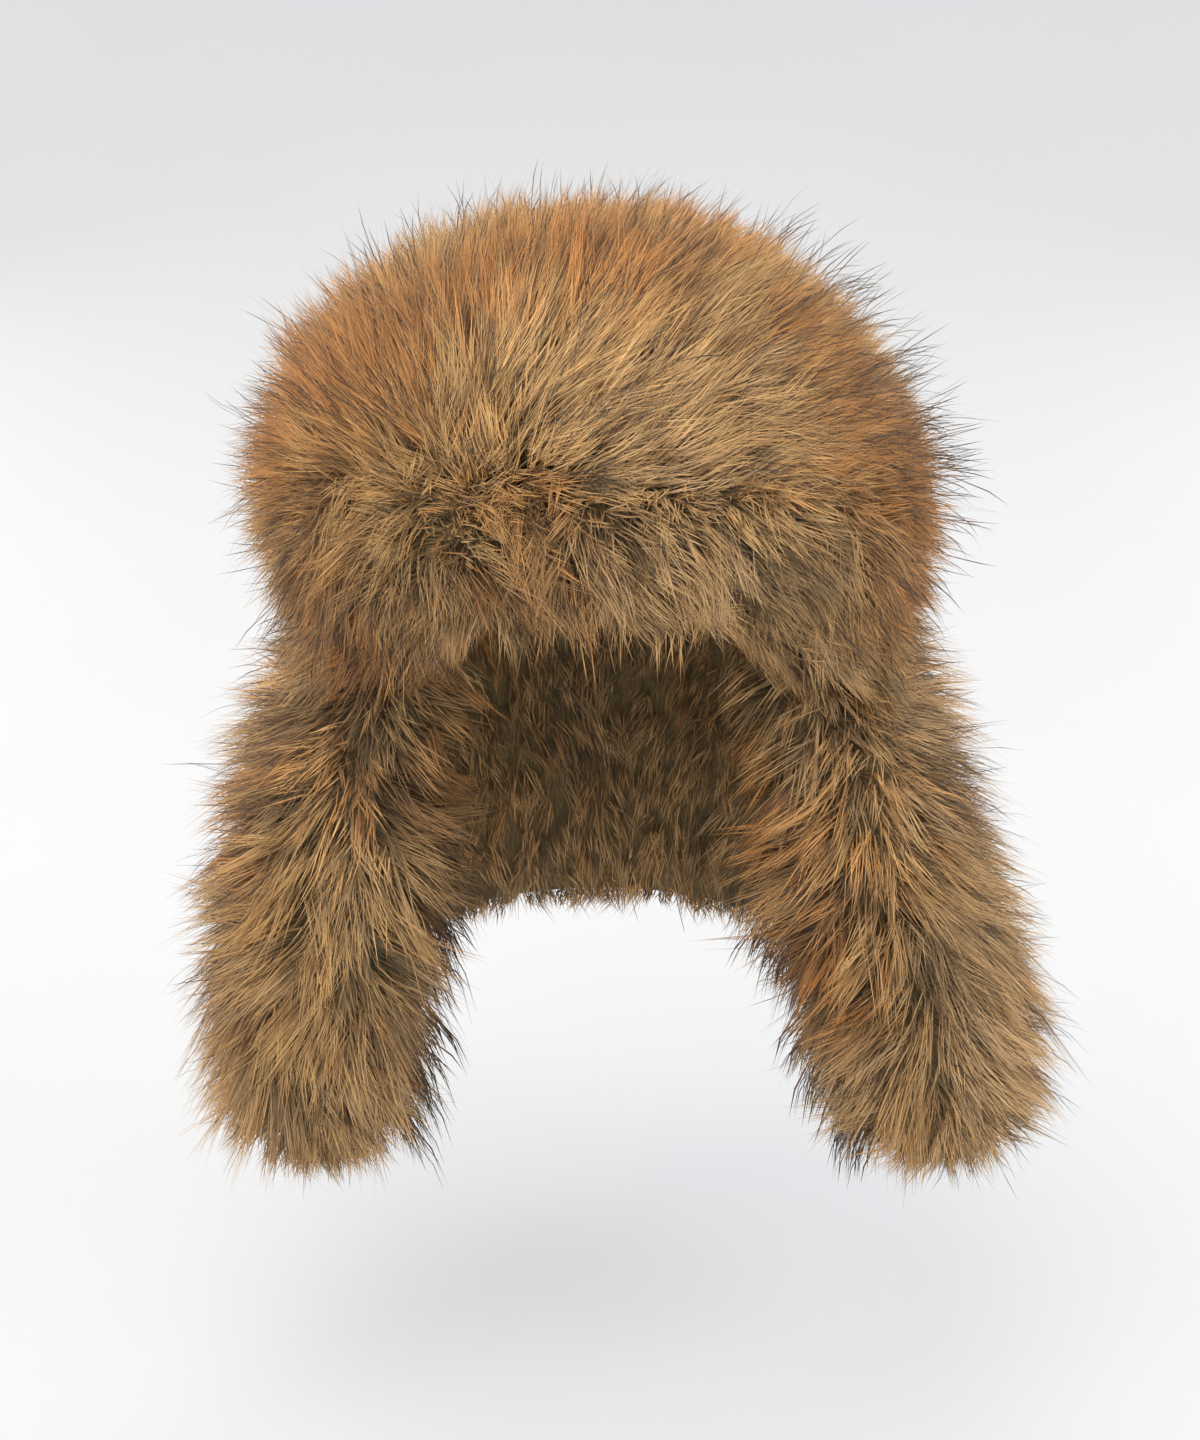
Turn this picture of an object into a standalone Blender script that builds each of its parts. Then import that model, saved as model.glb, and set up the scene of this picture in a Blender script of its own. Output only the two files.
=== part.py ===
"""A trapper hat in long pile fur. A lined crown carries a deep fur coat, a furred brow flap lies across
its front, an ear flap furred on both faces hangs at each side, and a shorter neck flap hangs behind.

Metres, +Z up. The wearer faces -Y, so the right hand side of a front view is +X. The origin is the inside
top of the crown, where the hat rests on its wearer. An angle round the crown is 0 at the front and grows
towards +X, and a drop is measured down from the origin.
"""

import math

import bmesh
import bpy
import numpy as np

# The lined crown, inside: an oval that is widest at a level below the top and closes in to the rim
CROWN_HALF_WIDTH = 0.088
CROWN_HALF_DEPTH = 0.108
CROWN_DOME = 0.068
CROWN_ROUNDNESS = 2.12
RIM_CLOSES_IN = 0.008
RIM_HALF_WIDTH = CROWN_HALF_WIDTH - RIM_CLOSES_IN
RIM_HALF_DEPTH = CROWN_HALF_DEPTH - RIM_CLOSES_IN
RIM_BELOW_WIDEST_FRONT = 0.020
RIM_BELOW_WIDEST_SIDE = 0.057
RIM_DROP_FRONT = CROWN_DOME + RIM_BELOW_WIDEST_FRONT
RIM_DROP_SIDE = CROWN_DOME + RIM_BELOW_WIDEST_SIDE

# Cloth and the gap between one piece and the next
WALL = 0.003
GAP = 0.0004

# The crown's fur: the solid mass of the pile, then the tips of its locks. The pile thins towards the
# rim from this share of the way down.
CROWN_PILE = 0.040
CROWN_PILE_TOP = 0.035
CROWN_LOCK = 0.018
CROWN_PILE_AT_RIM = 0.84
CROWN_ROUNDS_FROM = 0.6
CROWN_FUR_LIFT = WALL + GAP + CROWN_PILE_TOP

# The brow flap, from its upper edge at the parting down to the crown's rim. The crown's fur is pressed
# under it, and its own coat comes level with the crown's.
BROW_TOP_ABOVE_WIDEST = 0.016
BROW_DROP_TOP = CROWN_DOME - BROW_TOP_ABOVE_WIDEST
BROW_HALF_ANGLE = math.radians(59)
BROW_SEAM = math.radians(0.5)
BROW_UNDERFUR = 0.009
BROW_PILE = CROWN_PILE - BROW_UNDERFUR - WALL - 2 * GAP
BROW_LOCK = 0.018
BROW_LOCKS_OVER_EARS = 0.003

# The brow flap's coat thins by this share from this far down, and its locks fade out from this share
# of the way to its ends
BROW_THINS = 0.35
BROW_THINS_FROM = 0.65
BROW_FADES_FROM = 0.8

# The rim is high over the brow and low from the brow flap's ends round to the neck
RIM_FALLS_FROM = 0.37 * BROW_HALF_ANGLE
RIM_FALLS_TO = 0.97 * BROW_HALF_ANGLE

# The ear flaps
EAR_FROM = BROW_HALF_ANGLE + 2 * BROW_SEAM
EAR_TO = math.radians(122)
EAR_LENGTH = 0.196
EAR_HEM_PILE = 0.016
EAR_FLARE_RIGHT = 0.078
EAR_FLARE_LEFT = 0.050
EAR_TURN_RIGHT = math.radians(16)
EAR_TURN_LEFT = math.radians(7)
EAR_FORWARD = 0.010
EAR_PILE_OUT = 0.038
EAR_PILE_IN = 0.034
EAR_PILE_FRONT = 0.030
EAR_LOCK = 0.019

# The neck flap
EAR_TO_NECK = math.radians(2)
NECK_FROM = EAR_TO + EAR_TO_NECK
NECK_CLOTH_SHARE = 0.90
NECK_LENGTH = 0.122
NECK_HEM_PILE = 0.026
NECK_FLARE = 0.016
NECK_PILE_OUT = 0.036
NECK_PILE_IN = 0.012
NECK_LOCK = 0.017

# The round forms: the powers that swell the ear and neck flaps' oval sections and the neck flap's ends,
# how far an ear flap's cloth closes in to its hem, and the power that crowds the top rows of the crown
# and of the ear flaps together
EAR_SWELL = 0.7
NECK_SWELL = 0.5
NECK_ENDS_SWELL = 0.85
HEM_CLOSED_SHARE = 0.88
HEM_CLOSES_FROM = 0.45
ROWS_CROWD = 1.25

# How finely the forms are faceted: the cloth's columns and rows, and how many times finer the fur's are
CROWN_FRONT_COLUMNS = 8
CROWN_BACK_COLUMNS = 16
CROWN_TOP_ROWS = 5
CROWN_LOW_ROWS = 3
FLAP_COLUMNS = 7
FLAP_ROWS = 7
FLAP_FUR_ROWS = 12
NECK_COLUMNS = 9
NECK_ROWS = 4
NECK_FUR_ROWS = 7
FINER = 2

# The whorl on the wearer's right brow, from which the crown's fur sweeps away
WHORL = np.array([-0.68 * CROWN_HALF_WIDTH, -1.39 * CROWN_HALF_DEPTH, -1.03 * CROWN_DOME])

# Locks differ in length by this share of their own, by waves of waves over the crown's width
LOCK_VARIES = 0.25
SCATTER_WAVES = np.array([80.2, 59.2, 73.0])
SCATTER_TURNS = 9.1

# How far the locks of each piece lie over, as a share of how far they stand up
CROWN_LAY = 0.75
BROW_LAY = 0.9
EAR_LAY = 0.8
NECK_LAY = 0.9

# Beside falling, an ear flap's hair leans by these shares towards the back edge and the way it faces
EAR_LEANS_BACK = 0.1
EAR_LEANS_OUT = 0.25

# The crown's locks sink towards the rim, more at the back; the inner faces' locks are shorter where
# the hat is worn, down to these shares of the outer ones
CROWN_SINK = 0.25
CROWN_SINK_BACK = 0.55
EAR_INNER_TOP = 0.35
NECK_INNER = 0.45

# Shares of a flap over which its locks fade out, towards the edge that meets the next flap, down to a
# last share on an ear flap; and the shares of its length over which the inner face's locks grow
EAR_FADE = (0.55, 0.95)
EAR_FADE_LAST = 0.1
EAR_INNER_GROWS = (0.05, 0.40)
NECK_FADE = (0.75, 0.95)

# An ear flap from the rim down to the tips of its fur. Each length is a share of the named size:
# drop of the furred length, flare of EAR_FLARE, width of the half width, piles of EAR_PILE
EAR_TABLE = np.array(
    [
        # drop, flare right, flare left, width, pile out, pile in, front pile, forward, turn, bow
        (0.00, 0.00, 0.00, 1.00, 0.86, 0.24, 0.55, 0.00, 0.00, 1.00),
        (0.10, 0.14, 0.24, 1.01, 0.92, 0.36, 0.75, 0.10, 0.10, 0.95),
        (0.22, 0.31, 0.48, 1.03, 1.00, 0.64, 0.95, 0.25, 0.30, 0.80),
        (0.40, 0.50, 0.68, 1.03, 1.03, 0.98, 1.00, 0.45, 0.60, 0.60),
        (0.60, 0.72, 0.86, 0.98, 1.00, 1.00, 1.00, 0.70, 0.85, 0.45),
        (0.78, 0.90, 0.98, 0.88, 0.94, 0.96, 0.95, 0.90, 1.00, 0.35),
        (0.90, 0.98, 1.00, 0.68, 0.80, 0.84, 0.80, 1.00, 1.00, 0.25),
        (0.97, 1.00, 0.98, 0.40, 0.52, 0.54, 0.50, 1.00, 1.00, 0.10),
        (1.00, 1.00, 0.97, 0.00, 0.00, 0.00, 0.00, 1.00, 1.00, 0.00),
    ]
)
EAR_COLUMNS = (
    "drop",
    "flare_right",
    "flare_left",
    "width",
    "pile_out",
    "pile_in",
    "pile_front",
    "forward",
    "turn",
    "bow",
)

# The neck flap from the rim down to the tips of its fur, in the same way
NECK_TABLE = np.array(
    [
        # drop, flare, width, pile out, pile in
        (0.00, 0.00, 1.00, 1.00, 0.40),
        (0.30, 0.35, 1.00, 1.04, 0.80),
        (0.60, 0.72, 0.99, 1.02, 1.00),
        (0.82, 0.92, 0.95, 0.88, 1.00),
        (0.94, 1.00, 0.86, 0.58, 0.70),
        (1.00, 1.00, 0.78, 0.02, 0.02),
    ]
)
NECK_COLUMNS_NAMED = ("drop", "flare", "width", "pile_out", "pile_in")


DOWN = np.array([0.0, 0.0, -1.0])


def clear_scene():
    """Removes what a new file starts with."""
    for obj in list(bpy.data.objects):
        bpy.data.objects.remove(obj)


def material(name, colour, roughness):
    """A plain cloth or fur finish in a linear colour."""
    made = bpy.data.materials.new(name)
    made.use_nodes = True
    shader = made.node_tree.nodes["Principled BSDF"]
    shader.inputs["Base Color"].default_value = (*colour, 1.0)
    shader.inputs["Roughness"].default_value = roughness
    shader.inputs["Metallic"].default_value = 0.0
    return made


def step(value, low, high):
    """0 up to low, 1 from high, and a smooth rise between."""
    share = np.clip((value - low) / (high - low), 0.0, 1.0)
    return share * share * (3.0 - 2.0 * share)


def read_table(table, names, share):
    """Each column at the given shares of the drop, on cubic curves through the rows."""
    at, values = table[:, 0], table[:, 1:]
    slopes = np.gradient(values, at, axis=0)
    row = np.clip(np.searchsorted(at, share, side="right") - 1, 0, len(at) - 2)
    span = (at[row + 1] - at[row])[..., None]
    t = (share - at[row])[..., None] / span
    start, end = values[row], values[row + 1]
    curve = (
        start * (1 + 2 * t) * (1 - t) ** 2
        + end * t**2 * (3 - 2 * t)
        + span * (slopes[row] * t * (1 - t) ** 2 - slopes[row + 1] * t**2 * (1 - t))
    )
    return dict(zip(names[1:], np.moveaxis(np.maximum(curve, 0.0), -1, 0)))


def scatter(point):
    """A number from 0 to 1 that differs from place to place, the same each time."""
    wave = math.sin(float(np.dot(point / CROWN_HALF_WIDTH, SCATTER_WAVES)))
    return 0.5 + 0.5 * math.sin(wave * SCATTER_TURNS)


def lock_length(usual, centre):
    """The length of the lock that stands at a place."""
    return usual * (1.0 + LOCK_VARIES * (2.0 * scatter(centre) - 1.0))


def grid_faces(ids, starts=None):
    """The faces of a grid of vertex numbers. starts gives, for each row of faces, the columns where a
    face begins; without it every column has its own."""
    every = list(range(ids.shape[1] - 1))
    faces = []
    for row in range(len(ids) - 1):
        begins = starts[row] if starts else every
        for first, last in zip(begins, begins[1:] + [len(every)]):
            above = ids[row, first : last + 1].tolist()
            below = ids[row + 1, first : last + 1].tolist()
            faces.append(above + below[::-1])
    return faces


def border_faces(inner_run, outer_run):
    """Faces between two edges, where the outer one has a whole number of times as many steps."""
    finer = (len(outer_run) - 1) // (len(inner_run) - 1)
    faces = []
    for k in range(len(inner_run) - 1):
        near = [int(inner_run[k]), int(inner_run[k + 1])]
        far = [int(i) for i in outer_run[k * finer : (k + 1) * finer + 1]]
        faces.append(near + far[::-1])
    return faces


def solid_between(name, inner, outer, around, borders, finish, lock=None, starts=None):
    """A closed solid between two grids of points, each rows by columns by 3.

    around joins the last column to the first. borders names the sides that faces close, out of first,
    last, left and right; a row that is one point closes by itself. Each face of the outer grid becomes
    a raised lock, whose tip the function lock places, and starts says where these faces begin.
    """
    points = np.concatenate([inner.reshape(-1, 3), outer.reshape(-1, 3)])
    inner_ids = np.arange(inner[..., 0].size).reshape(inner.shape[:2])
    outer_ids = np.arange(outer[..., 0].size).reshape(outer.shape[:2]) + inner_ids.size
    if around:
        inner_ids = np.hstack([inner_ids, inner_ids[:, :1]])
        outer_ids = np.hstack([outer_ids, outer_ids[:, :1]])
    runs = {
        "first": (inner_ids[0], outer_ids[0]),
        "last": (inner_ids[-1], outer_ids[-1]),
        "left": (inner_ids[:, 0], outer_ids[:, 0]),
        "right": (inner_ids[:, -1], outer_ids[:, -1]),
    }
    furred = grid_faces(outer_ids, starts)
    plain = grid_faces(inner_ids)
    for side in borders:
        plain += border_faces(*runs[side])
    mesh = bpy.data.meshes.new(name)
    mesh.from_pydata(points.tolist(), [], furred + plain)
    shape = bmesh.new()
    shape.from_mesh(mesh)
    shape.faces.ensure_lookup_table()
    is_fur = shape.faces.layers.int.new("is_fur")
    for face in shape.faces[: len(furred)]:
        face[is_fur] = 1
    bmesh.ops.remove_doubles(shape, verts=shape.verts, dist=1e-6)
    bmesh.ops.recalc_face_normals(shape, faces=shape.faces)
    if lock:
        raise_locks(shape, [f for f in shape.faces if f[is_fur]], lock)
    shape.to_mesh(mesh)
    shape.free()
    obj = bpy.data.objects.new(name, mesh)
    bpy.context.scene.collection.objects.link(obj)
    mesh.materials.append(finish)
    return obj


def raise_locks(shape, faces, lock):
    """Turns each face into a lock of fur: a pyramid whose tip leans the way the pile lies."""
    shape.normal_update()
    raised = []
    for face in faces:
        tip = lock(np.array(face.calc_center_median()), np.array(face.normal))
        if tip is not None:
            corners = list(face.verts)
            point = shape.verts.new(tip)
            for near, far in zip(corners, corners[1:] + corners[:1]):
                shape.faces.new((near, far, point))
            raised.append(face)
    bmesh.ops.delete(shape, geom=raised, context="FACES_ONLY")


def lay_on(normal, direction):
    """The direction, laid flat on a surface with that normal, at unit length."""
    flat = direction - np.dot(direction, normal) * normal
    return flat / max(np.linalg.norm(flat), 1e-6)


def rim_drop(angle):
    """How far the crown's rim lies below the seat: high over the brow and low at the ears and neck."""
    turned = np.abs((angle + math.pi) % (2 * math.pi) - math.pi)
    fall = step(turned, RIM_FALLS_FROM, RIM_FALLS_TO)
    return RIM_DROP_FRONT + (RIM_DROP_SIDE - RIM_DROP_FRONT) * fall


def crown_drop(share, angle, lift):
    """The drop of a row of the crown. The upper half of the shares runs over the dome in even steps of
    its curve, down to the brow flap's upper edge, and the lower half from there straight to the rim."""
    height = CROWN_DOME + lift
    last = math.acos(((CROWN_DOME - BROW_DROP_TOP) / height) ** (CROWN_ROUNDNESS / 2))
    turn = last * np.clip(2 * share, 0.0, 1.0) ** ROWS_CROWD
    over_dome = CROWN_DOME - height * np.cos(turn) ** (2 / CROWN_ROUNDNESS)
    return over_dome + np.clip(2 * share - 1, 0.0, 1.0) * (rim_drop(angle) - BROW_DROP_TOP)


def crown_point(angle, drop, grow, lift):
    """A point of the crown's form. Above its widest level the plan is an oval whose size follows a
    superellipse of the height, and below it the oval narrows smoothly to the rim's. grow adds to the
    oval's half axes and lift raises the top."""
    above = np.clip((CROWN_DOME - drop) / (CROWN_DOME + lift), 0.0, 1.0)
    size = (1.0 - above**CROWN_ROUNDNESS) ** (1 / CROWN_ROUNDNESS)
    narrow = step(drop, CROWN_DOME, rim_drop(angle))
    half_width = CROWN_HALF_WIDTH - narrow * (CROWN_HALF_WIDTH - RIM_HALF_WIDTH) + grow
    half_depth = CROWN_HALF_DEPTH - narrow * (CROWN_HALF_DEPTH - RIM_HALF_DEPTH) + grow
    x = half_width * size * np.sin(angle)
    y = -half_depth * size * np.cos(angle)
    return np.stack([x, y, -drop + 0 * x], axis=-1)


def crown_angles(finer):
    """The columns round the crown, with one at each side of the seam where the brow flap ends."""
    front_end = BROW_HALF_ANGLE + BROW_SEAM
    back_start = front_end + 2 * BROW_SEAM
    front = np.linspace(-front_end, front_end, CROWN_FRONT_COLUMNS * finer + 1)
    back = np.linspace(back_start, 2 * math.pi - back_start, CROWN_BACK_COLUMNS * finer + 1)
    return front, back


def crown_grid(finer, grow, lift):
    """The crown's form as a grid of points, with two rows where the brow flap begins. grow may be a
    function of angle, share of the way down, and whether the row is one of the flap's."""
    front, back = crown_angles(finer)
    if finer > 1:
        # The seam's narrow column is split too, so that each cloth column has its own fur columns.
        seam_right = [(front[-1] + back[0]) / 2]
        seam_left = [(front[0] + back[-1] - 2 * math.pi) / 2]
        angles = np.concatenate([front, seam_right, back, seam_left])
    else:
        angles = np.concatenate([front, back])
    top = np.linspace(0.0, 0.5, CROWN_TOP_ROWS * finer + 1)
    low = np.linspace(0.5, 1.0, CROWN_LOW_ROWS * finer + 1)
    share, angle = np.meshgrid(np.concatenate([top, low]), angles, indexing="ij")
    is_low = np.arange(len(share))[:, None] > CROWN_TOP_ROWS * finer
    out = grow(angle, share, is_low) if callable(grow) else grow
    return crown_point(angle, crown_drop(share, angle, lift), out, lift)


def crown_lock_starts():
    """Where the crown's locks begin in each row: wider ones round the top, so that they keep an even
    size, and the narrow seam columns joined to their neighbours all the way down to the brow flap."""
    front, back = CROWN_FRONT_COLUMNS * FINER, CROWN_BACK_COLUMNS * FINER
    every = list(range(front + back + 4))
    narrow = {front + 1, front + 2, front + back + 2, front + back + 3}
    joined = [column for column in every if column not in narrow]
    top = [joined[::4], joined[::2], joined[::2]]
    upper = [joined] * (CROWN_TOP_ROWS * FINER - len(top))
    return top + upper + [every] * (CROWN_LOW_ROWS * FINER + 1)


def crown_fur_grow(angle, share, is_low):
    """How far the crown's fur stands out: pressed flat under the brow flap, rounded in at the rim."""
    turned = np.abs((angle + math.pi) % (2 * math.pi) - math.pi)
    at_rim = step(share, CROWN_ROUNDS_FROM, 1.0)
    full = CROWN_PILE * (1.0 - (1.0 - CROWN_PILE_AT_RIM) * at_rim)
    pressed = is_low & (turned < BROW_HALF_ANGLE + 1.5 * BROW_SEAM)
    return WALL + GAP + np.where(pressed, BROW_UNDERFUR, full)


def crown_lock(centre, normal):
    """The tip of a lock on the crown: away from the whorl, sinking a little at the back and sides."""
    in_front = abs(math.atan2(centre[0], -centre[1])) < BROW_HALF_ANGLE + 3 * BROW_SEAM
    if in_front and centre[2] < GAP - BROW_DROP_TOP:
        return None
    away = (centre - WHORL) / np.linalg.norm(centre - WHORL)
    sink = CROWN_SINK + CROWN_SINK_BACK * step(centre[1], 0.0, CROWN_HALF_DEPTH)
    size = lock_length(CROWN_LOCK, centre)
    tip = centre + size * (normal + CROWN_LAY * lay_on(normal, away + sink * DOWN))
    tip[2] = max(tip[2], GAP - (BROW_DROP_TOP if in_front else RIM_DROP_SIDE))
    return tip


def make_crown(cloth, fur):
    """The crown's lined cloth, and the fur coat round it."""
    inside = crown_grid(1, 0.0, 0.0)
    outside = crown_grid(1, WALL, WALL)
    solid_between("crown_lining", inside, outside, True, ["last"], cloth)
    foot = crown_grid(1, WALL + GAP, WALL + GAP)
    mass = crown_grid(FINER, crown_fur_grow, CROWN_FUR_LIFT)
    starts = crown_lock_starts()
    solid_between("crown_fur", foot, mass, True, ["last"], fur, crown_lock, starts)


def brow_grid(grow):
    """The brow flap's form: the crown's, from the parting to the rim between the flap's two ends, and
    a gap lower."""
    ends = np.linspace(-BROW_HALF_ANGLE, BROW_HALF_ANGLE, CROWN_FRONT_COLUMNS * FINER + 1)
    shares = np.linspace(0.5, 1.0, CROWN_LOW_ROWS * FINER + 1)
    share, angle = np.meshgrid(shares, ends, indexing="ij")
    out = grow(share) if callable(grow) else grow
    grid = crown_point(angle, crown_drop(share, angle, CROWN_FUR_LIFT), out, CROWN_FUR_LIFT)
    return grid - np.array([0.0, 0.0, GAP])


def brow_lock(centre, normal):
    """The tip of a lock on the brow flap: outwards and down, and held up over the ear flaps."""
    turned = abs(math.atan2(centre[0], -centre[1]))
    size = lock_length(BROW_LOCK, centre)
    size *= 1.0 - step(turned, BROW_FADES_FROM * BROW_HALF_ANGLE, BROW_HALF_ANGLE)
    level = np.array([normal[0], normal[1], min(normal[2], 0.0)])
    tip = centre + size * (level + BROW_LAY * lay_on(normal, DOWN))
    tip[2] = max(tip[2], BROW_LOCKS_OVER_EARS - RIM_DROP_SIDE)
    return tip


def make_brow_flap(cloth, fur):
    """The flap across the brow: a cloth backing that lies on the crown's pressed fur, and its coat."""
    seat = WALL + 2 * GAP + BROW_UNDERFUR + GAP
    backing = brow_grid(seat), brow_grid(seat + WALL)
    sides = ["first", "last", "left", "right"]
    solid_between("brow_flap_backing", *backing, False, sides, cloth)
    foot = brow_grid(seat + WALL + GAP)

    def mass_grow(share):
        rounded = 1.0 - BROW_THINS * step(share, BROW_THINS_FROM, 1.0)
        return seat + WALL + GAP + BROW_PILE * rounded

    mass = brow_grid(mass_grow)
    solid_between("brow_flap_fur", foot, mass, False, sides, fur, brow_lock)


def ear_point(side, across, drop, off, read):
    """A point of an ear flap. across runs from the front edge to the back one, in metres from the
    middle; off is the distance outwards from the cloth's middle. The flap swings out to its side,
    turns a little to face forwards and keeps some of the bow of the rim that it is sewn to."""
    flare = EAR_FLARE_RIGHT if side > 0 else EAR_FLARE_LEFT
    turn = (EAR_TURN_RIGHT if side > 0 else EAR_TURN_LEFT) * read["turn"]
    out = flare * (read["flare_right"] if side > 0 else read["flare_left"])
    half, chord, middle, bow = ear_chord()
    flat = np.clip(across / half, -1.0, 1.0)
    away = off + bow * read["bow"] * (1.0 - flat**2)
    x = side * (chord + out + np.sin(turn) * across + np.cos(turn) * away)
    y = middle - EAR_FORWARD * read["forward"] + np.cos(turn) * across - np.sin(turn) * away
    z = -(RIM_DROP_SIDE + GAP + drop)
    return np.stack([x, y, z + 0 * x], axis=-1)


def ear_chord():
    """The straight line between an ear flap's upper corners on the rim: its half length, how far out
    it lies, where its middle is along Y, and how far the rim bows out from it."""
    half_width = RIM_HALF_WIDTH + WALL / 2
    half_depth = RIM_HALF_DEPTH + WALL / 2
    front, back = -half_depth * math.cos(EAR_FROM), -half_depth * math.cos(EAR_TO)
    chord = half_width * math.sin(EAR_FROM)
    return (back - front) / 2, chord, (back + front) / 2, half_width - chord


def ear_backing(side, name, cloth):
    """The cloth between the flap's two fur faces."""
    half = ear_chord()[0]
    share = np.sin(np.linspace(0.0, math.pi / 2, FLAP_ROWS + 1))
    across, down = np.meshgrid(np.linspace(-1, 1, FLAP_COLUMNS), share)
    furred = EAR_LENGTH + EAR_HEM_PILE
    read = read_table(EAR_TABLE, EAR_COLUMNS, down * EAR_LENGTH / furred)
    wide = half * read["width"] * across * hem_round(down)
    faces = [
        ear_point(side, wide, down * EAR_LENGTH, off, read) for off in (-WALL / 2, WALL / 2)
    ]
    sides = ["first", "last", "left", "right"]
    solid_between(name, faces[0], faces[1], False, sides, cloth)


def hem_round(down):
    """How the flap's width closes in to its rounded hem, as a share."""
    closed = HEM_CLOSED_SHARE * step(down, HEM_CLOSES_FROM, 1.0) ** 2
    return np.sqrt(np.clip(1.0 - closed, 0.0, 1.0))


def closed_to_point(grid, last=None):
    """The grid with a row below it that is the middle of its last row, or of the one given."""
    last = grid[-1:] if last is None else last
    point = last.mean(axis=1, keepdims=True)
    return np.concatenate([grid, np.repeat(point, grid.shape[1], axis=1)])


def closed_to_seam(grid, last):
    """The grid with a row below it where both faces of the given row meet in the middle."""
    return np.concatenate([grid, (last + last[:, ::-1]) / 2])


def section_loop(count):
    """For each point round a flap's section: its share across, and which face it is on, 1 or -1.
    It runs from the front edge along the outer face to the back edge, and home along the inner face."""
    across = np.linspace(-1, 1, count)
    return np.concatenate([across, across[::-1]]), np.repeat([1.0, -1.0], count)


def ear_fur(side, name, fur):
    """The fur on both faces of an ear flap as one coat, with a pocket for the cloth."""
    half = ear_chord()[0]
    furred = EAR_LENGTH + EAR_HEM_PILE
    # The pocket clears the cloth all round by the gap, and has a floor under the hem.
    share = np.sin(np.linspace(0.0, math.pi / 2, FLAP_ROWS + 1))
    across, face = section_loop(FLAP_COLUMNS)
    down, across_grid = np.meshgrid(share, across, indexing="ij")
    read = read_table(EAR_TABLE, EAR_COLUMNS, down * EAR_LENGTH / furred)
    wide = (half * read["width"] * hem_round(down) + GAP) * across_grid
    lowered = down * EAR_LENGTH + GAP * (down == 1.0)
    pocket = ear_point(side, wide, lowered, face * (WALL / 2 + GAP), read)
    pocket[0, :, 2] -= GAP
    pocket = closed_to_point(pocket)
    # The coat is an oval section whose halves have their own depths, closed below in a round end.
    rows = np.sin(np.linspace(0.0, math.pi / 2, FLAP_FUR_ROWS + 1)) ** ROWS_CROWD
    turn = loop_angles(FLAP_COLUMNS)
    down, turn = np.meshgrid(rows, turn, indexing="ij")
    read = read_table(EAR_TABLE, EAR_COLUMNS, down)
    beyond = np.where(np.cos(turn) < 0, EAR_PILE_FRONT * read["pile_front"], GAP * 4)
    wide = np.cos(turn) * (half * read["width"] + beyond)
    depth = np.where(
        np.sin(turn) > 0, EAR_PILE_OUT * read["pile_out"], EAR_PILE_IN * read["pile_in"]
    )
    off = np.sign(np.sin(turn)) * np.abs(np.sin(turn)) ** EAR_SWELL * (depth + WALL / 2 + GAP)
    coat = ear_point(side, wide, down * furred, off, read)
    coat[0, :, 2] -= GAP
    coat = closed_to_point(coat[:-1], coat[-1:])

    def lock(centre, normal):
        """The tip of a lock: down and out to both sides of the flap's front edge."""
        fade = 1.0 - (1.0 - EAR_FADE_LAST) * step(centre[1] / half, *EAR_FADE)
        if side * normal[0] < 0:
            down = (-centre[2] - RIM_DROP_SIDE) / EAR_LENGTH
            fade *= EAR_INNER_TOP + (1.0 - EAR_INNER_TOP) * step(down, *EAR_INNER_GROWS)
        size = lock_length(EAR_LOCK, centre) * fade
        down_and_out = np.array([EAR_LEANS_OUT * normal[0], EAR_LEANS_BACK, -1.0])
        tip = centre + size * (normal + EAR_LAY * lay_on(normal, down_and_out))
        tip[2] = min(tip[2], -RIM_DROP_SIDE - 3 * GAP)
        return tip

    solid_between(name, pocket, coat, True, ["first"], fur, lock)


def loop_angles(columns):
    """The angles round a section that go with section_loop, FINER times as many. They run from the
    front edge over the outer face to the back edge, and home along the inner face."""
    count = 2 * columns * FINER
    return math.pi - (np.arange(count) + 0.5 * FINER - 0.5) * 2 * math.pi / count


def neck_point(across, drop, off, read):
    """A point of the neck flap. across is a share of its half angle; the form is the back of the rim's
    own oval, opened out towards the hem."""
    angle = math.pi + across * (math.pi - NECK_FROM)
    out = NECK_FLARE * read["flare"] + off + WALL / 2
    x = (RIM_HALF_WIDTH + out) * np.sin(angle)
    y = -(RIM_HALF_DEPTH + out) * np.cos(angle)
    z = -(RIM_DROP_SIDE + GAP + drop)
    return np.stack([x, y, z + 0 * x], axis=-1)


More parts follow.
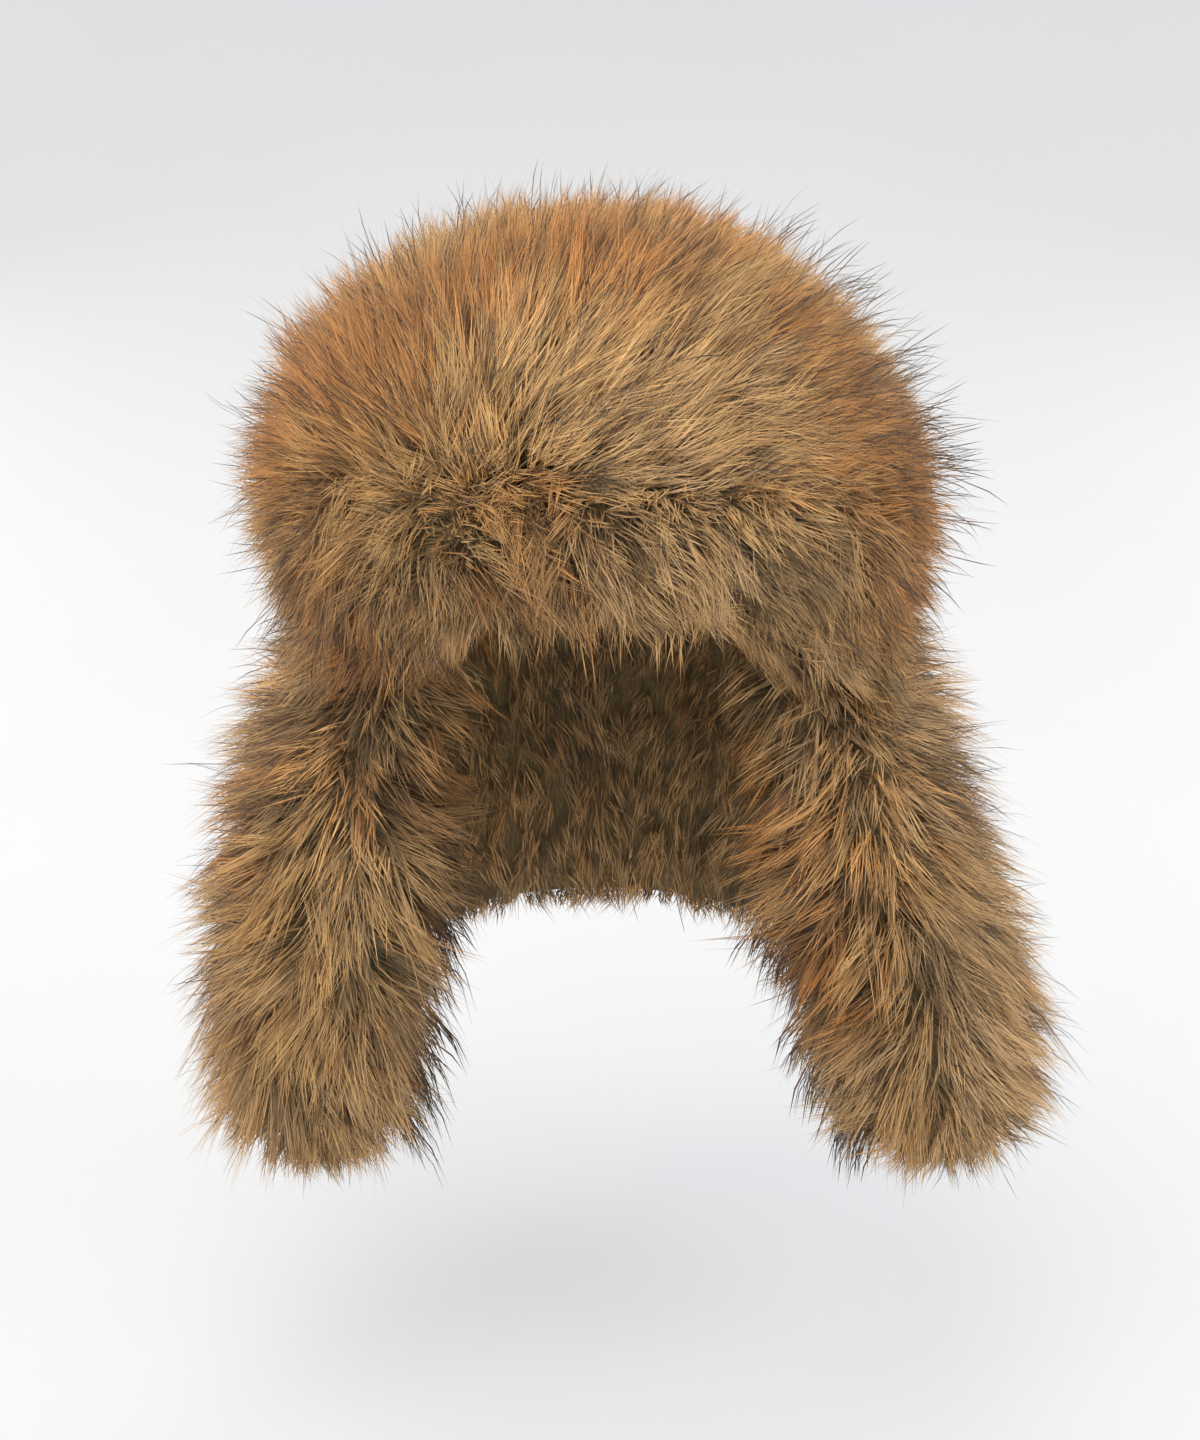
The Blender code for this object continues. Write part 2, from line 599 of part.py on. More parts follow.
def make_neck_flap(cloth, fur):
    """The flap over the nape: its cloth, and one coat with deep fur outside and shorter fur inside."""
    furred = NECK_LENGTH + NECK_HEM_PILE
    shares = np.linspace(0.0, 1.0, NECK_ROWS + 1)
    across, down = np.meshgrid(np.linspace(-1, 1, NECK_COLUMNS), shares)
    read = read_table(NECK_TABLE, NECK_COLUMNS_NAMED, down * NECK_LENGTH / furred)
    wide = across * NECK_CLOTH_SHARE
    faces = [neck_point(wide, down * NECK_LENGTH, off, read) for off in (-WALL / 2, WALL / 2)]
    sides = ["first", "last", "left", "right"]
    solid_between("neck_flap_backing", faces[0], faces[1], False, sides, cloth)

    # One more GAP at each end, as a share of the half angle
    clear = GAP / (RIM_HALF_WIDTH * (math.pi - NECK_FROM))
    across, face = section_loop(NECK_COLUMNS)
    down, across_grid = np.meshgrid(shares, across, indexing="ij")
    read = read_table(NECK_TABLE, NECK_COLUMNS_NAMED, down * NECK_LENGTH / furred)
    lowered = down * NECK_LENGTH + GAP * (down == 1.0)
    wide = across_grid * (NECK_CLOTH_SHARE + clear)
    pocket = neck_point(wide, lowered, face * (WALL / 2 + GAP), read)
    pocket[0, :, 2] -= GAP
    pocket = closed_to_seam(pocket, pocket[-1:])

    rows = np.linspace(0.0, 1.0, NECK_FUR_ROWS + 1)
    turn = loop_angles(NECK_COLUMNS)
    down, turn = np.meshgrid(rows, turn, indexing="ij")
    read = read_table(NECK_TABLE, NECK_COLUMNS_NAMED, down)
    deep = np.where(
        np.sin(turn) > 0, NECK_PILE_OUT * read["pile_out"], NECK_PILE_IN * read["pile_in"]
    )
    off = np.sign(np.sin(turn)) * np.abs(np.sin(turn)) ** NECK_SWELL * (deep + WALL / 2 + GAP)
    along = np.sign(np.cos(turn)) * np.abs(np.cos(turn)) ** NECK_ENDS_SWELL
    coat = neck_point(along * (read["width"] + 3 * clear), down * furred, off, read)
    coat[0, :, 2] -= GAP
    coat = closed_to_seam(coat[:-1], coat[-1:])

    def lock(centre, normal):
        """The tip of a lock on the neck flap: outwards and down, and none at its two ends."""
        turned = abs(math.atan2(centre[0], centre[1])) / (math.pi - NECK_FROM)
        inner = 1.0 if np.dot(normal[:2], centre[:2]) > 0 else NECK_INNER
        size = lock_length(NECK_LOCK, centre) * inner * (1.0 - step(turned, *NECK_FADE))
        tip = centre + size * (normal + NECK_LAY * lay_on(normal, DOWN))
        tip[2] = min(tip[2], -RIM_DROP_SIDE - 3 * GAP)
        return tip

    solid_between("neck_flap_fur", pocket, coat, True, ["first"], fur, lock)


def main():
    clear_scene()
    cloth = material("lining_cloth", (0.105, 0.078, 0.045), 0.85)
    fur = material("fox_brown_fur", (0.330, 0.185, 0.080), 0.75)
    make_crown(cloth, fur)
    make_brow_flap(cloth, fur)
    for side, name in ((-1, "left"), (1, "right")):
        ear_backing(side, f"ear_flap_{name}_backing", cloth)
        ear_fur(side, f"ear_flap_{name}_fur", fur)
    make_neck_flap(cloth, fur)


main()
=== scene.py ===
import math

import bmesh
import bpy
import numpy as np
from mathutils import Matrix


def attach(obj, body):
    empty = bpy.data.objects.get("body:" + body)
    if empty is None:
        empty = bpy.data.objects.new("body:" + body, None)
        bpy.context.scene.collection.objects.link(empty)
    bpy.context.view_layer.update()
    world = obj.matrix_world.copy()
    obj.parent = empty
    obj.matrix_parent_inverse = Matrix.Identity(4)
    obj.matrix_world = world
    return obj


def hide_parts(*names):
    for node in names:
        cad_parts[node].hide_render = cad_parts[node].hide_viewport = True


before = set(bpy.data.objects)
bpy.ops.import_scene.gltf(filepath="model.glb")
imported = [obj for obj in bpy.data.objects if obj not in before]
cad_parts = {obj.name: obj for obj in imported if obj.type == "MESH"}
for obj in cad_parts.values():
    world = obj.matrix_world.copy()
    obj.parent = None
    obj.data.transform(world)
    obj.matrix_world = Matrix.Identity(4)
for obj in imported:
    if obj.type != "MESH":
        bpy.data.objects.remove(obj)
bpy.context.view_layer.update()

# The crown's lining is a brown cotton twill in six gores, sewn to the pelt's leather side and turned at
# the rim. It shows only from below, so it is plain: the gores swell a little between their seams.
WALL = 0.003
CROWN_HALF_WIDTH = 0.088
CROWN_HALF_DEPTH = 0.108
CROWN_DOME = 0.068
CROWN_ROUNDNESS = 2.12
RIM_CLOSES_IN = 0.008
RIM_DROP_FRONT = CROWN_DOME + 0.020
RIM_DROP_SIDE = CROWN_DOME + 0.057
BROW_DROP_TOP = CROWN_DOME - 0.016
BROW_HALF_ANGLE = math.radians(59)
RIM_FALLS_FROM = 0.37 * BROW_HALF_ANGLE
RIM_FALLS_TO = 0.97 * BROW_HALF_ANGLE
ROWS_CROWD = 1.25
LINING_COLUMNS = 120
LINING_ROWS_INSIDE = 30
LINING_ROWS_OUTSIDE = 10
LINING_GORES = 6
LINING_SWELL = 0.0012
LINING_SEAM = 0.16
LINING_BROWN = "#5A4A32"
LINING_BROWN_DEEP = "#44371F"
TWILL_RIB = 0.003235
WAVE_APART = 0.36276
TWILL_TURN = math.radians(40)


def linear(hex_colour):
    """The linear colour of an sRGB hex value, with its alpha."""
    parts = [int(hex_colour[i : i + 2], 16) / 255 for i in (1, 3, 5)]
    return (*[p / 12.92 if p <= 0.04045 else ((p + 0.055) / 1.055) ** 2.4 for p in parts], 1.0)


def node(tree, kind, settings=None, **inputs):
    """Adds a node with its settings. An input goes by its name, or by its number after a low line, and
    is a value or another node's socket."""
    made = tree.nodes.new(kind)
    for key, value in (settings or {}).items():
        setattr(made, key, value)
    for key, value in inputs.items():
        socket = made.inputs[int(key[1:]) if key[0] == "_" else key.replace("_", " ")]
        if isinstance(value, bpy.types.NodeSocket):
            tree.links.new(value, socket)
        else:
            socket.default_value = value
    return made


def mixed(tree, share, first, second, blend="MIX"):
    """The output of a node that mixes two colours by a share."""
    settings = {"data_type": "RGBA", "blend_type": blend}
    return node(tree, "ShaderNodeMix", settings, _0=share, _6=first, _7=second).outputs[2]


def mapped(tree, value, low, high, to_low, to_high):
    """The output of a node that maps low to high onto another range, level past both ends."""
    made = node(tree, "ShaderNodeMapRange", Value=value, _1=low, _2=high, _3=to_low, _4=to_high)
    return made.outputs[0]


def finish_named(name):
    """A new material, its node tree and its shader."""
    made = bpy.data.materials.new(name)
    made.use_nodes = True
    return made, made.node_tree, made.node_tree.nodes["Principled BSDF"]


def step(value, low, high):
    """0 up to low, 1 from high, and a smooth rise between."""
    share = np.clip((value - low) / (high - low), 0.0, 1.0)
    return share * share * (3.0 - 2.0 * share)


def from_front(angle):
    """How far an angle round the crown lies from the front, to either side."""
    return np.abs((angle + math.pi) % (2 * math.pi) - math.pi)


def rim_drop(angle):
    """How far the rim lies below the seat at an angle round the crown, 0 at the front."""
    fall = step(from_front(angle), RIM_FALLS_FROM, RIM_FALLS_TO)
    return RIM_DROP_FRONT + (RIM_DROP_SIDE - RIM_DROP_FRONT) * fall


def crown_drop(share, angle, lift):
    """The drop of a share of the way down the crown: over the dome by the cosine of an even turn for the
    upper half, and in a straight line to the rim for the lower half."""
    height = CROWN_DOME + lift
    last = np.arccos(((CROWN_DOME - BROW_DROP_TOP) / height) ** (CROWN_ROUNDNESS / 2))
    turn = last * np.clip(2 * share, 0.0, 1.0) ** ROWS_CROWD
    over_dome = CROWN_DOME - height * np.cos(turn) ** (2 / CROWN_ROUNDNESS)
    return over_dome + np.maximum(2 * share - 1, 0.0) * (rim_drop(angle) - BROW_DROP_TOP)


def crown_point(angle, drop, grow, lift):
    """A point of the crown: an oval plan whose size follows a superellipse of the height above the
    widest level, and closes in smoothly from there to the rim."""
    above = np.clip((CROWN_DOME - drop) / (CROWN_DOME + lift), 0.0, 1.0)
    size = np.maximum(1.0 - above**CROWN_ROUNDNESS, 0.0) ** (1 / CROWN_ROUNDNESS)
    narrow = RIM_CLOSES_IN * step(drop, CROWN_DOME, rim_drop(angle))
    x = (CROWN_HALF_WIDTH - narrow + grow) * size * np.sin(angle)
    y = -(CROWN_HALF_DEPTH - narrow + grow) * size * np.cos(angle)
    return np.stack([x, y, -drop + 0 * x], axis=-1)


def mesh_of(name, points, faces):
    """A smooth object from an array of points and an array of faces with the same number of corners."""
    mesh = bpy.data.meshes.new(name)
    mesh.vertices.add(len(points))
    mesh.vertices.foreach_set("co", np.ascontiguousarray(points, dtype=np.float32).ravel())
    mesh.loops.add(faces.size)
    mesh.loops.foreach_set("vertex_index", faces.ravel().astype(np.int32))
    mesh.polygons.add(len(faces))
    mesh.polygons.foreach_set("loop_start", np.arange(0, faces.size, faces.shape[1], dtype=np.int32))
    mesh.update(calc_edges=True)
    mesh.shade_smooth()
    made = bpy.data.objects.new(name, mesh)
    bpy.context.scene.collection.objects.link(made)
    return made


def grid_of(name, grid):
    """A smooth surface through a grid of points, rows by columns by 3, whose last column joins the
    first. Points that meet, such as a pole, are merged, and the faces turned outwards."""
    rows, columns = grid.shape[:2]
    ids = np.arange(rows * columns).reshape(rows, columns)
    ids = np.hstack([ids, ids[:, :1]])
    faces = np.stack([ids[:-1, :-1], ids[1:, :-1], ids[1:, 1:], ids[:-1, 1:]], axis=-1).reshape(-1, 4)
    made = mesh_of(name, grid.reshape(-1, 3), faces)
    shape = bmesh.new()
    shape.from_mesh(made.data)
    bmesh.ops.remove_doubles(shape, verts=shape.verts, dist=1e-6)
    bmesh.ops.recalc_face_normals(shape, faces=shape.faces)
    shape.to_mesh(made.data)
    shape.free()
    made.data.shade_smooth()
    return made


def lining_grid():
    """The lining as one closed surface: down its inner face from the top, round the rim, and up the
    outer face. The inner face swells between the gores' seams by the sine of the way across a gore."""
    angle = np.linspace(0, 2 * math.pi, LINING_COLUMNS, endpoint=False)
    share = np.concatenate([np.linspace(0, 1, LINING_ROWS_INSIDE), np.linspace(1, 0, LINING_ROWS_OUTSIDE)])
    face = np.repeat([0.0, 1.0], [LINING_ROWS_INSIDE, LINING_ROWS_OUTSIDE])[:, None]
    share, angle = np.meshgrid(share, angle, indexing="ij")
    across = (angle * LINING_GORES / (2 * math.pi)) % 1.0
    swell = LINING_SWELL * (1 - np.abs(np.sin(math.pi * across)) ** LINING_SEAM) * (1 - face)
    swell = swell * step(share, 0.02, 0.3)
    lift = WALL * face + 0 * swell
    return crown_point(angle, crown_drop(share, angle, lift), WALL * face + swell, lift)


lining = grid_of("crown_lining_cloth", lining_grid())

# Cotton twill: matt, with diagonal ribs and a slightly uneven dye. A real rib is about 1 mm; it is drawn
# three times as wide so that it shows. A wave's bands lie WAVE_APART from one another at scale 1.
cloth, tree, shader = finish_named("cotton_twill_lining")
place = node(tree, "ShaderNodeTexCoord").outputs["Object"]
turned = node(tree, "ShaderNodeMapping", Vector=place, Rotation=(0.0, 0.0, TWILL_TURN))
twill = node(
    tree, "ShaderNodeTexWave", {"wave_type": "BANDS", "bands_direction": "DIAGONAL"},
    Vector=turned.outputs["Vector"], Scale=WAVE_APART / TWILL_RIB, Distortion=0.6, Detail=1.0,
)
shade = node(tree, "ShaderNodeTexNoise", Vector=place, Scale=60.0, Detail=3.0)
dyed = mixed(tree, shade.outputs["Fac"], linear(LINING_BROWN_DEEP), linear(LINING_BROWN))
bump = node(tree, "ShaderNodeBump", Strength=0.35, Distance=0.0004, Height=twill.outputs["Fac"])
tree.links.new(dyed, shader.inputs["Base Color"])
tree.links.new(bump.outputs["Normal"], shader.inputs["Normal"])
shader.inputs["Roughness"].default_value = 0.85
shader.inputs["Sheen Weight"].default_value = 0.15
lining.data.materials.append(cloth)
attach(lining, "root")
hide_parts("crown_lining")

# The crown's pelt is long and dense: a short woolly underfur, then soft hair in tufts of a few
# millimetres, and here and there a stiff dark guard hair that stands well clear of the rest.
GAP = 0.0004
CROWN_PILE = 0.040
CROWN_PILE_TOP = 0.035
CROWN_PILE_AT_RIM = 0.84
CROWN_ROUNDS_FROM = 0.6
CROWN_LOCK = 0.014
CROWN_REACH = 0.88
CROWN_COLUMNS = 120
CROWN_FACE_ROWS = 48
CROWN_BACK_ROWS = 12
UNDERFUR = 0.62
UNDERFUR_PRESSED = 0.2
UNDERFUR_ROUGH = 0.0012
WHORL = np.array([-0.060, -0.150, -0.066])

# Every part's soft hair: how its tufts are strewn and gather into locks, how a hair is shaped, and how
# much each lock, tuft and hair differs from the next.
CELLS_ROUND = 160
CELLS_DOWN = 120
HAIRS_IN_TUFT = 6
TUFT_SPREAD = 0.0024
TUFT_CLOSES = 0.80
LOCK_WIDE = 0.0034
LOCK_LONG = 0.014
FULL_HEIGHT = 0.036
GATHER = 0.0032
GATHER_SIZE = 0.008
LOCK_SWERVES = 0.20
TUFT_SWERVES = 0.15
FIELD_SWERVES = 0.34
FIELD_SIZE = 0.016
HEIGHT_VARIES = 0.15
LEAN_VARIES = 0.3
LOCK_BENDS = 0.8
TUFT_BENDS = 0.5
HAIR_BENDS = 0.4
LOCK_TONES = 0.70
TUFT_TONES = 0.40
HAIR_TONES = 0.22
LOCK_RUST = 0.30
HAIR_RUST = 0.12
PATCH_SIZE = 0.045
SHORTEST_HAIR = 0.50
HAIR_LENGTHS = 0.56
TIP_STRAYS = 0.0011
ARCH_OUT = 0.15
ARCH_BACK = 0.13
HAIR_ROLL = 0.35
HAIR_THICK = 0.00030
SHORT_THICKER = 1.9
LONG_THINNER = 1.2
HAIR_CORNERS = np.radians([-10.0, 190.0, 270.0])
HAIR_CORNERS_OUT = np.array([1.0, 1.0, 0.45])
SOFT_SHADING = 0.6

# Guard hair. Its path says how far up and how far over each of its points lies.
GUARD_THICK = 0.00014
GUARD_PROUD = 0.014
GUARD_FEET_STRAY = 0.0028
GUARD_ENDS_STRAY = 0.0084
GUARD_BOWS = 0.0012
GUARD_SWERVES = 0.35
GUARD_PATH = ((0, 0), (0.5, 0.24), (0.82, 0.62), (1, 1))
GUARDS_IN_BUNCH = 4

# Colours along a hair from root to tip, its tints, and the ranges over which they set in.
ROOT_OLIVE = "#665C44"
STEM_OLIVE = "#7E6F4B"
STEM_TAN = "#896A40"
BAND_CREAM = "#CEA36A"
TIP_TAN = "#B08950"
DARK_TIP = "#35241A"
DARK_TIP_RANGE = (0.52, 0.78)
DARK_TIPPED_TUFTS = 0.26
DARK_TIPPED_HAIRS = 0.55
DARK_LOCKS = 0.02
DARK_LOCK_TONE = -1.9
TONE_SHIFT = 0.05
TONE_RANGE = (-2.4, 1.6)
RUST_TINT = (1.0, 0.69, 0.43, 1.0)
FULL_RUST = 1.1
OLIVE_TINT = (0.95, 1.01, 1.28, 1.0)
FULL_OLIVE = -1.0
NOISE_RANGE = (0.3, 0.7)
STREAK_RANGE = (0.78, 1.22)
STREAKS_ACROSS = 2.4
SHEEN_CREAM = "#E9BE84"
GUARD_ROOT = "#8A6238"
GUARD_TIP = "#17100C"
WOOL_DEEP = "#6C5A3C"
WOOL_LIGHT = "#9A8056"


def crown_coat(angle, share, depth):
    """A point in the crown's pile: depth 0 on the pelt's leather and 1 at the top of the dense fur."""
    full = CROWN_PILE * (1.0 - (1.0 - CROWN_PILE_AT_RIM) * step(share, CROWN_ROUNDS_FROM, 1.0))
    lift = WALL + GAP + depth * CROWN_PILE_TOP
    return crown_point(angle, crown_drop(share, angle, lift), WALL + GAP + depth * full, lift)


def unit(vectors):
    """The vectors at length 1."""
    return vectors / np.maximum(np.linalg.norm(vectors, axis=-1, keepdims=True), 1e-9)


def coat_frame(coat, u, v):
    """The outward direction of a coat's top at each place, from the cross product of its two runs."""
    tiny = 1e-3
    along_u = coat(u + tiny, v, 1.0) - coat(u - tiny, v, 1.0)
    along_v = coat(u, v + tiny, 1.0) - coat(u, v - tiny, 1.0)
    out = unit(np.cross(along_u, along_v))
    facing = np.sum(out * (coat(u, v, 1.0) - coat(u, v, 0.3)), axis=-1, keepdims=True)
    return out * np.sign(facing + 1e-12)


def scattered(rng, coat, u_range, v_range, count, keep=None):
    """Places strewn evenly over a coat's top: cells of a grid are drawn by their area, then a place
    within each. keep says how dense they lie."""
    u_edge = np.linspace(*u_range, CELLS_ROUND + 1)
    v_edge = np.linspace(*v_range, CELLS_DOWN + 1)
    grid = coat(u_edge[None, :], v_edge[:, None], 1.0)
    side_u = grid[:-1, 1:] - grid[:-1, :-1]
    side_v = grid[1:, :-1] - grid[:-1, :-1]
    area = np.linalg.norm(np.cross(side_u, side_v), axis=-1)
    if keep is not None:
        middle_u = (u_edge[1:] + u_edge[:-1]) / 2
        middle_v = (v_edge[1:] + v_edge[:-1]) / 2
        area = area * keep(middle_u[None, :] + 0 * area, middle_v[:, None] + 0 * area)
    sums = np.cumsum(area.ravel())
    cell = np.searchsorted(sums, rng.random(count) * sums[-1])
    row, column = np.unravel_index(np.minimum(cell, area.size - 1), area.shape)
    u = u_edge[column] + rng.random(count) * (u_edge[1] - u_edge[0])
    v = v_edge[row] + rng.random(count) * (v_edge[1] - v_edge[0])
    return u, v


def patchy(points, size, seed):
    """A smooth number from about -1 to 1 that changes over a size: a sum of six waves."""
    waves = np.random.default_rng(seed).normal(size=(6, 3)) * (2.0 / size)
    turns = np.random.default_rng(seed + 1).random(6) * 2 * math.pi
    return np.sin(points @ waves.T + turns).sum(axis=-1) / 2.6


# The lightness column mixes the fur's own lighter and darker patches with painted shade: the rows marked
# below are dark where shade falls under the brow flap and on the ear flaps.
COLOUR_AND_SHADE_PATCHES = np.array([
    # x, y, z, radius, how rusty, how light (the fur's own tone, and painted shade where marked)
    (-0.003, -0.101, 0.022, 0.045, 1.1, -0.8),
    (-0.045, -0.098, 0.015, 0.040, 1.1, -0.3),
    (-0.094, -0.084, 0.001, 0.045, 1.2, -0.5),
    (-0.112, -0.064, -0.033, 0.045, 1.1, -0.5),
    (0.088, -0.098, -0.002, 0.038, 1.2, -1.3),
    (0.122, -0.062, -0.065, 0.045, 1.2, -0.5),
    (0.030, 0.000, 0.030, 0.080, 1.0, -0.3),
    (0.030, 0.100, 0.000, 0.090, 0.8, 0.0),
    (-0.090, 0.080, -0.060, 0.070, 0.7, 0.0),
    (0.100, 0.090, -0.070, 0.070, 0.7, 0.0),
    (-0.013, -0.136, -0.020, 0.042, 0.0, 1.7),
    (-0.047, -0.155, -0.072, 0.030, 0.0, -0.1),
    (0.010, -0.155, -0.044, 0.030, -0.3, -0.4),
    (0.018, -0.151, -0.066, 0.030, -0.4, 1.0),
    # painted shade under the brow flap's lower edge
    (-0.003, -0.140, -0.092, 0.042, 0.3, -0.8),
    (-0.108, -0.086, -0.090, 0.042, 0.7, 0.3),
    # painted shade on an ear flap's top, under the brow flap's corner
    (-0.094, -0.085, -0.125, 0.034, 0.8, -1.3),
    (-0.099, -0.083, -0.155, 0.035, 0.6, -0.7),
    # painted shade on an ear flap's inner face, near its top
    (-0.067, -0.050, -0.180, 0.040, 0.6, -1.3),
    (-0.149, -0.051, -0.226, 0.035, 0.3, 0.5),
    (-0.106, -0.088, -0.299, 0.045, -0.4, 0.5),
    # painted shade on the ear flaps' inner faces, this row and the next two
    (-0.066, -0.030, -0.250, 0.040, 1.0, -0.9),
    (0.072, -0.010, -0.180, 0.040, 0.6, -1.2),
    (0.068, -0.069, -0.199, 0.030, 0.6, -0.5),
    (0.116, -0.086, -0.186, 0.035, 0.0, 0.6),
    (0.127, -0.089, -0.237, 0.033, -0.4, -0.8),
    (0.078, -0.070, -0.235, 0.038, 1.0, 0.0),
    # painted shade on an ear flap's inner face
    (0.085, -0.020, -0.270, 0.035, 0.8, -1.0),
    (0.165, -0.070, -0.299, 0.050, -0.9, 0.8),
])


def patch_colour_and_shade(points):
    """How rusty and how light the hair is at each point. Each wide patch fades off by a bell curve. The
    rustiest patch at a point counts alone, less the olive ones; the lightness of all of them adds up, the
    fur's own lighter and darker patches together with the dark patches of painted shade under the brow
    flap and on the ear flaps; and small waves change both from one lock to the next."""
    apart = np.linalg.norm(points[:, None, :] - COLOUR_AND_SHADE_PATCHES[None, :, :3], axis=-1) / COLOUR_AND_SHADE_PATCHES[:, 3]
    bell = np.exp(-(apart**2))
    warm = bell * COLOUR_AND_SHADE_PATCHES[:, 4]
    rusty = warm.max(axis=1) + np.minimum(warm, 0.0).sum(axis=1) + 0.28 * patchy(points, PATCH_SIZE, 77)
    return rusty, (bell * COLOUR_AND_SHADE_PATCHES[:, 5]).sum(axis=1) + 0.35 * patchy(points, PATCH_SIZE, 91)


def strands(name, spine, thick, out, tone, rust, roll, dark_tip):
    """Every hair as a thin closed spindle: its spine's first and last points are its ends, and each
    point between carries a ring of three, broad side out. spine is hairs by points by 3. The shading
    leans towards the coat's outward direction, because real hair scatters light like one soft surface."""
    hairs, stops = spine.shape[:2]
    ahead = unit(spine[:, 2:] - spine[:, :-2])
    wide = unit(np.cross(ahead, out[:, None, :]))
    high = np.cross(wide, ahead)
    turn = roll[:, None, None] + HAIR_CORNERS
    radius = np.asarray(thick).reshape(hairs, -1, 1) * HAIR_CORNERS_OUT
    ring = radius[..., None] * np.cos(turn)[..., None] * wide[:, :, None, :]
    ring = ring + radius[..., None] * np.sin(turn)[..., None] * high[:, :, None, :] + spine[:, 1:-1, None, :]
    per_hair = 2 + 3 * (stops - 2)
    points = np.concatenate([spine[:, :1], ring.reshape(hairs, -1, 3), spine[:, -1:]], axis=1)
    faces, maps = [], []
    levels = np.linspace(0.02, 0.98, stops)
    for k in range(3):
        j = (k + 1) % 3
        left, middle, right = (k + 0.06) / 3, (k + 0.5) / 3, (k + 0.94) / 3
        faces.append((0, 1 + k, 1 + j))
        maps.append(((middle, levels[0]), (left, levels[1]), (right, levels[1])))
        for r in range(stops - 3):
            a, b = 1 + 3 * r, 4 + 3 * r
            faces += [(a + k, b + j, a + j), (a + k, b + k, b + j)]
            low, top = levels[r + 1], levels[r + 2]
            maps += [((left, low), (right, top), (right, low)), ((left, low), (left, top), (right, top))]
        last = per_hair - 4
        faces.append((last + j, last + k, per_hair - 1))
        maps.append(((right, levels[-2]), (left, levels[-2]), (middle, levels[-1])))
    faces = (np.array(faces)[None] + per_hair * np.arange(hairs)[:, None, None]).reshape(-1, 3)
    made = mesh_of(name, points.reshape(-1, 3), faces)
    own = np.cos(turn)[..., None] * wide[:, :, None, :] + np.sin(turn)[..., None] * high[:, :, None, :]
    facing = np.broadcast_to(out[:, None, :], (hairs, per_hair, 3)).copy()
    facing[:, 1:-1] = unit(SOFT_SHADING * facing[:, 1:-1] + (1 - SOFT_SHADING) * own.reshape(hairs, -1, 3))
    made.data.normals_split_custom_set_from_vertices(facing.reshape(-1, 3))
    along = np.concatenate([[0.0], np.repeat(np.linspace(0, 1, stops)[1:-1], 3), [1.0]])
    across = np.tile(np.concatenate([[0.0], np.tile([1.0, -1.0, 0.0], stops - 2), [0.0]]), hairs)
    for key, values in (
        ("along", np.tile(along, hairs)),
        ("across", across * STREAKS_ACROSS + np.repeat(rust * 37.0 + tone * 11.0, per_hair)),
        ("tone", np.repeat(tone, per_hair)),
        ("rust", np.repeat(rust, per_hair)),
        ("dark_tip", np.repeat(dark_tip, per_hair)),
    ):
        layer = made.data.attributes.new(key, "FLOAT", "POINT")
        layer.data.foreach_set("value", values.astype(np.float32))
    cells = math.ceil(math.sqrt(hairs))
    cell = np.stack([np.arange(hairs) % cells, np.arange(hairs) // cells], axis=-1)
    uv = (np.array(maps)[None] + cell[:, None, None, :]) / cells
    made.data.uv_layers.new(name="OFBake").data.foreach_set("uv", uv.astype(np.float32).ravel())
    return made


def along_coat(lay, top, out, u, v):
    """The lie of the fur laid into the coat's surface; a short one leaves the hair standing."""
    lie = lay(top, out, u, v)
    lie = lie - np.sum(lie * out, axis=-1, keepdims=True) * out
    length = np.linalg.norm(lie, axis=-1, keepdims=True)
    return lie * np.minimum(length, 1.0) / np.maximum(length, 1e-9)


def lock_leaders(top, out, lie, leaders):
    """Which of the leading tufts each tuft joins: the one nearest to it, where a step across that
    leader's lie counts for more than a step along it. Also the way from its axis, across."""
    ahead = unit(lie)
    apart = top @ ahead[leaders].T - np.sum(top * ahead, axis=-1)[leaders]
    square = (top**2).sum(-1)[:, None] + (top[leaders] ** 2).sum(-1) - 2 * top @ top[leaders].T
    cost = np.maximum(square - apart**2, 0.0) / LOCK_WIDE**2 + apart**2 / LOCK_LONG**2
    cost = cost + (out @ out[leaders].T < 0.3) * 1e3
    chosen = leaders[np.argmin(cost, axis=1)]
    across = top - top[chosen]
    across = across - np.sum(across * ahead[chosen], axis=-1, keepdims=True) * ahead[chosen]
    return chosen, across - np.sum(across * out, axis=-1, keepdims=True) * out


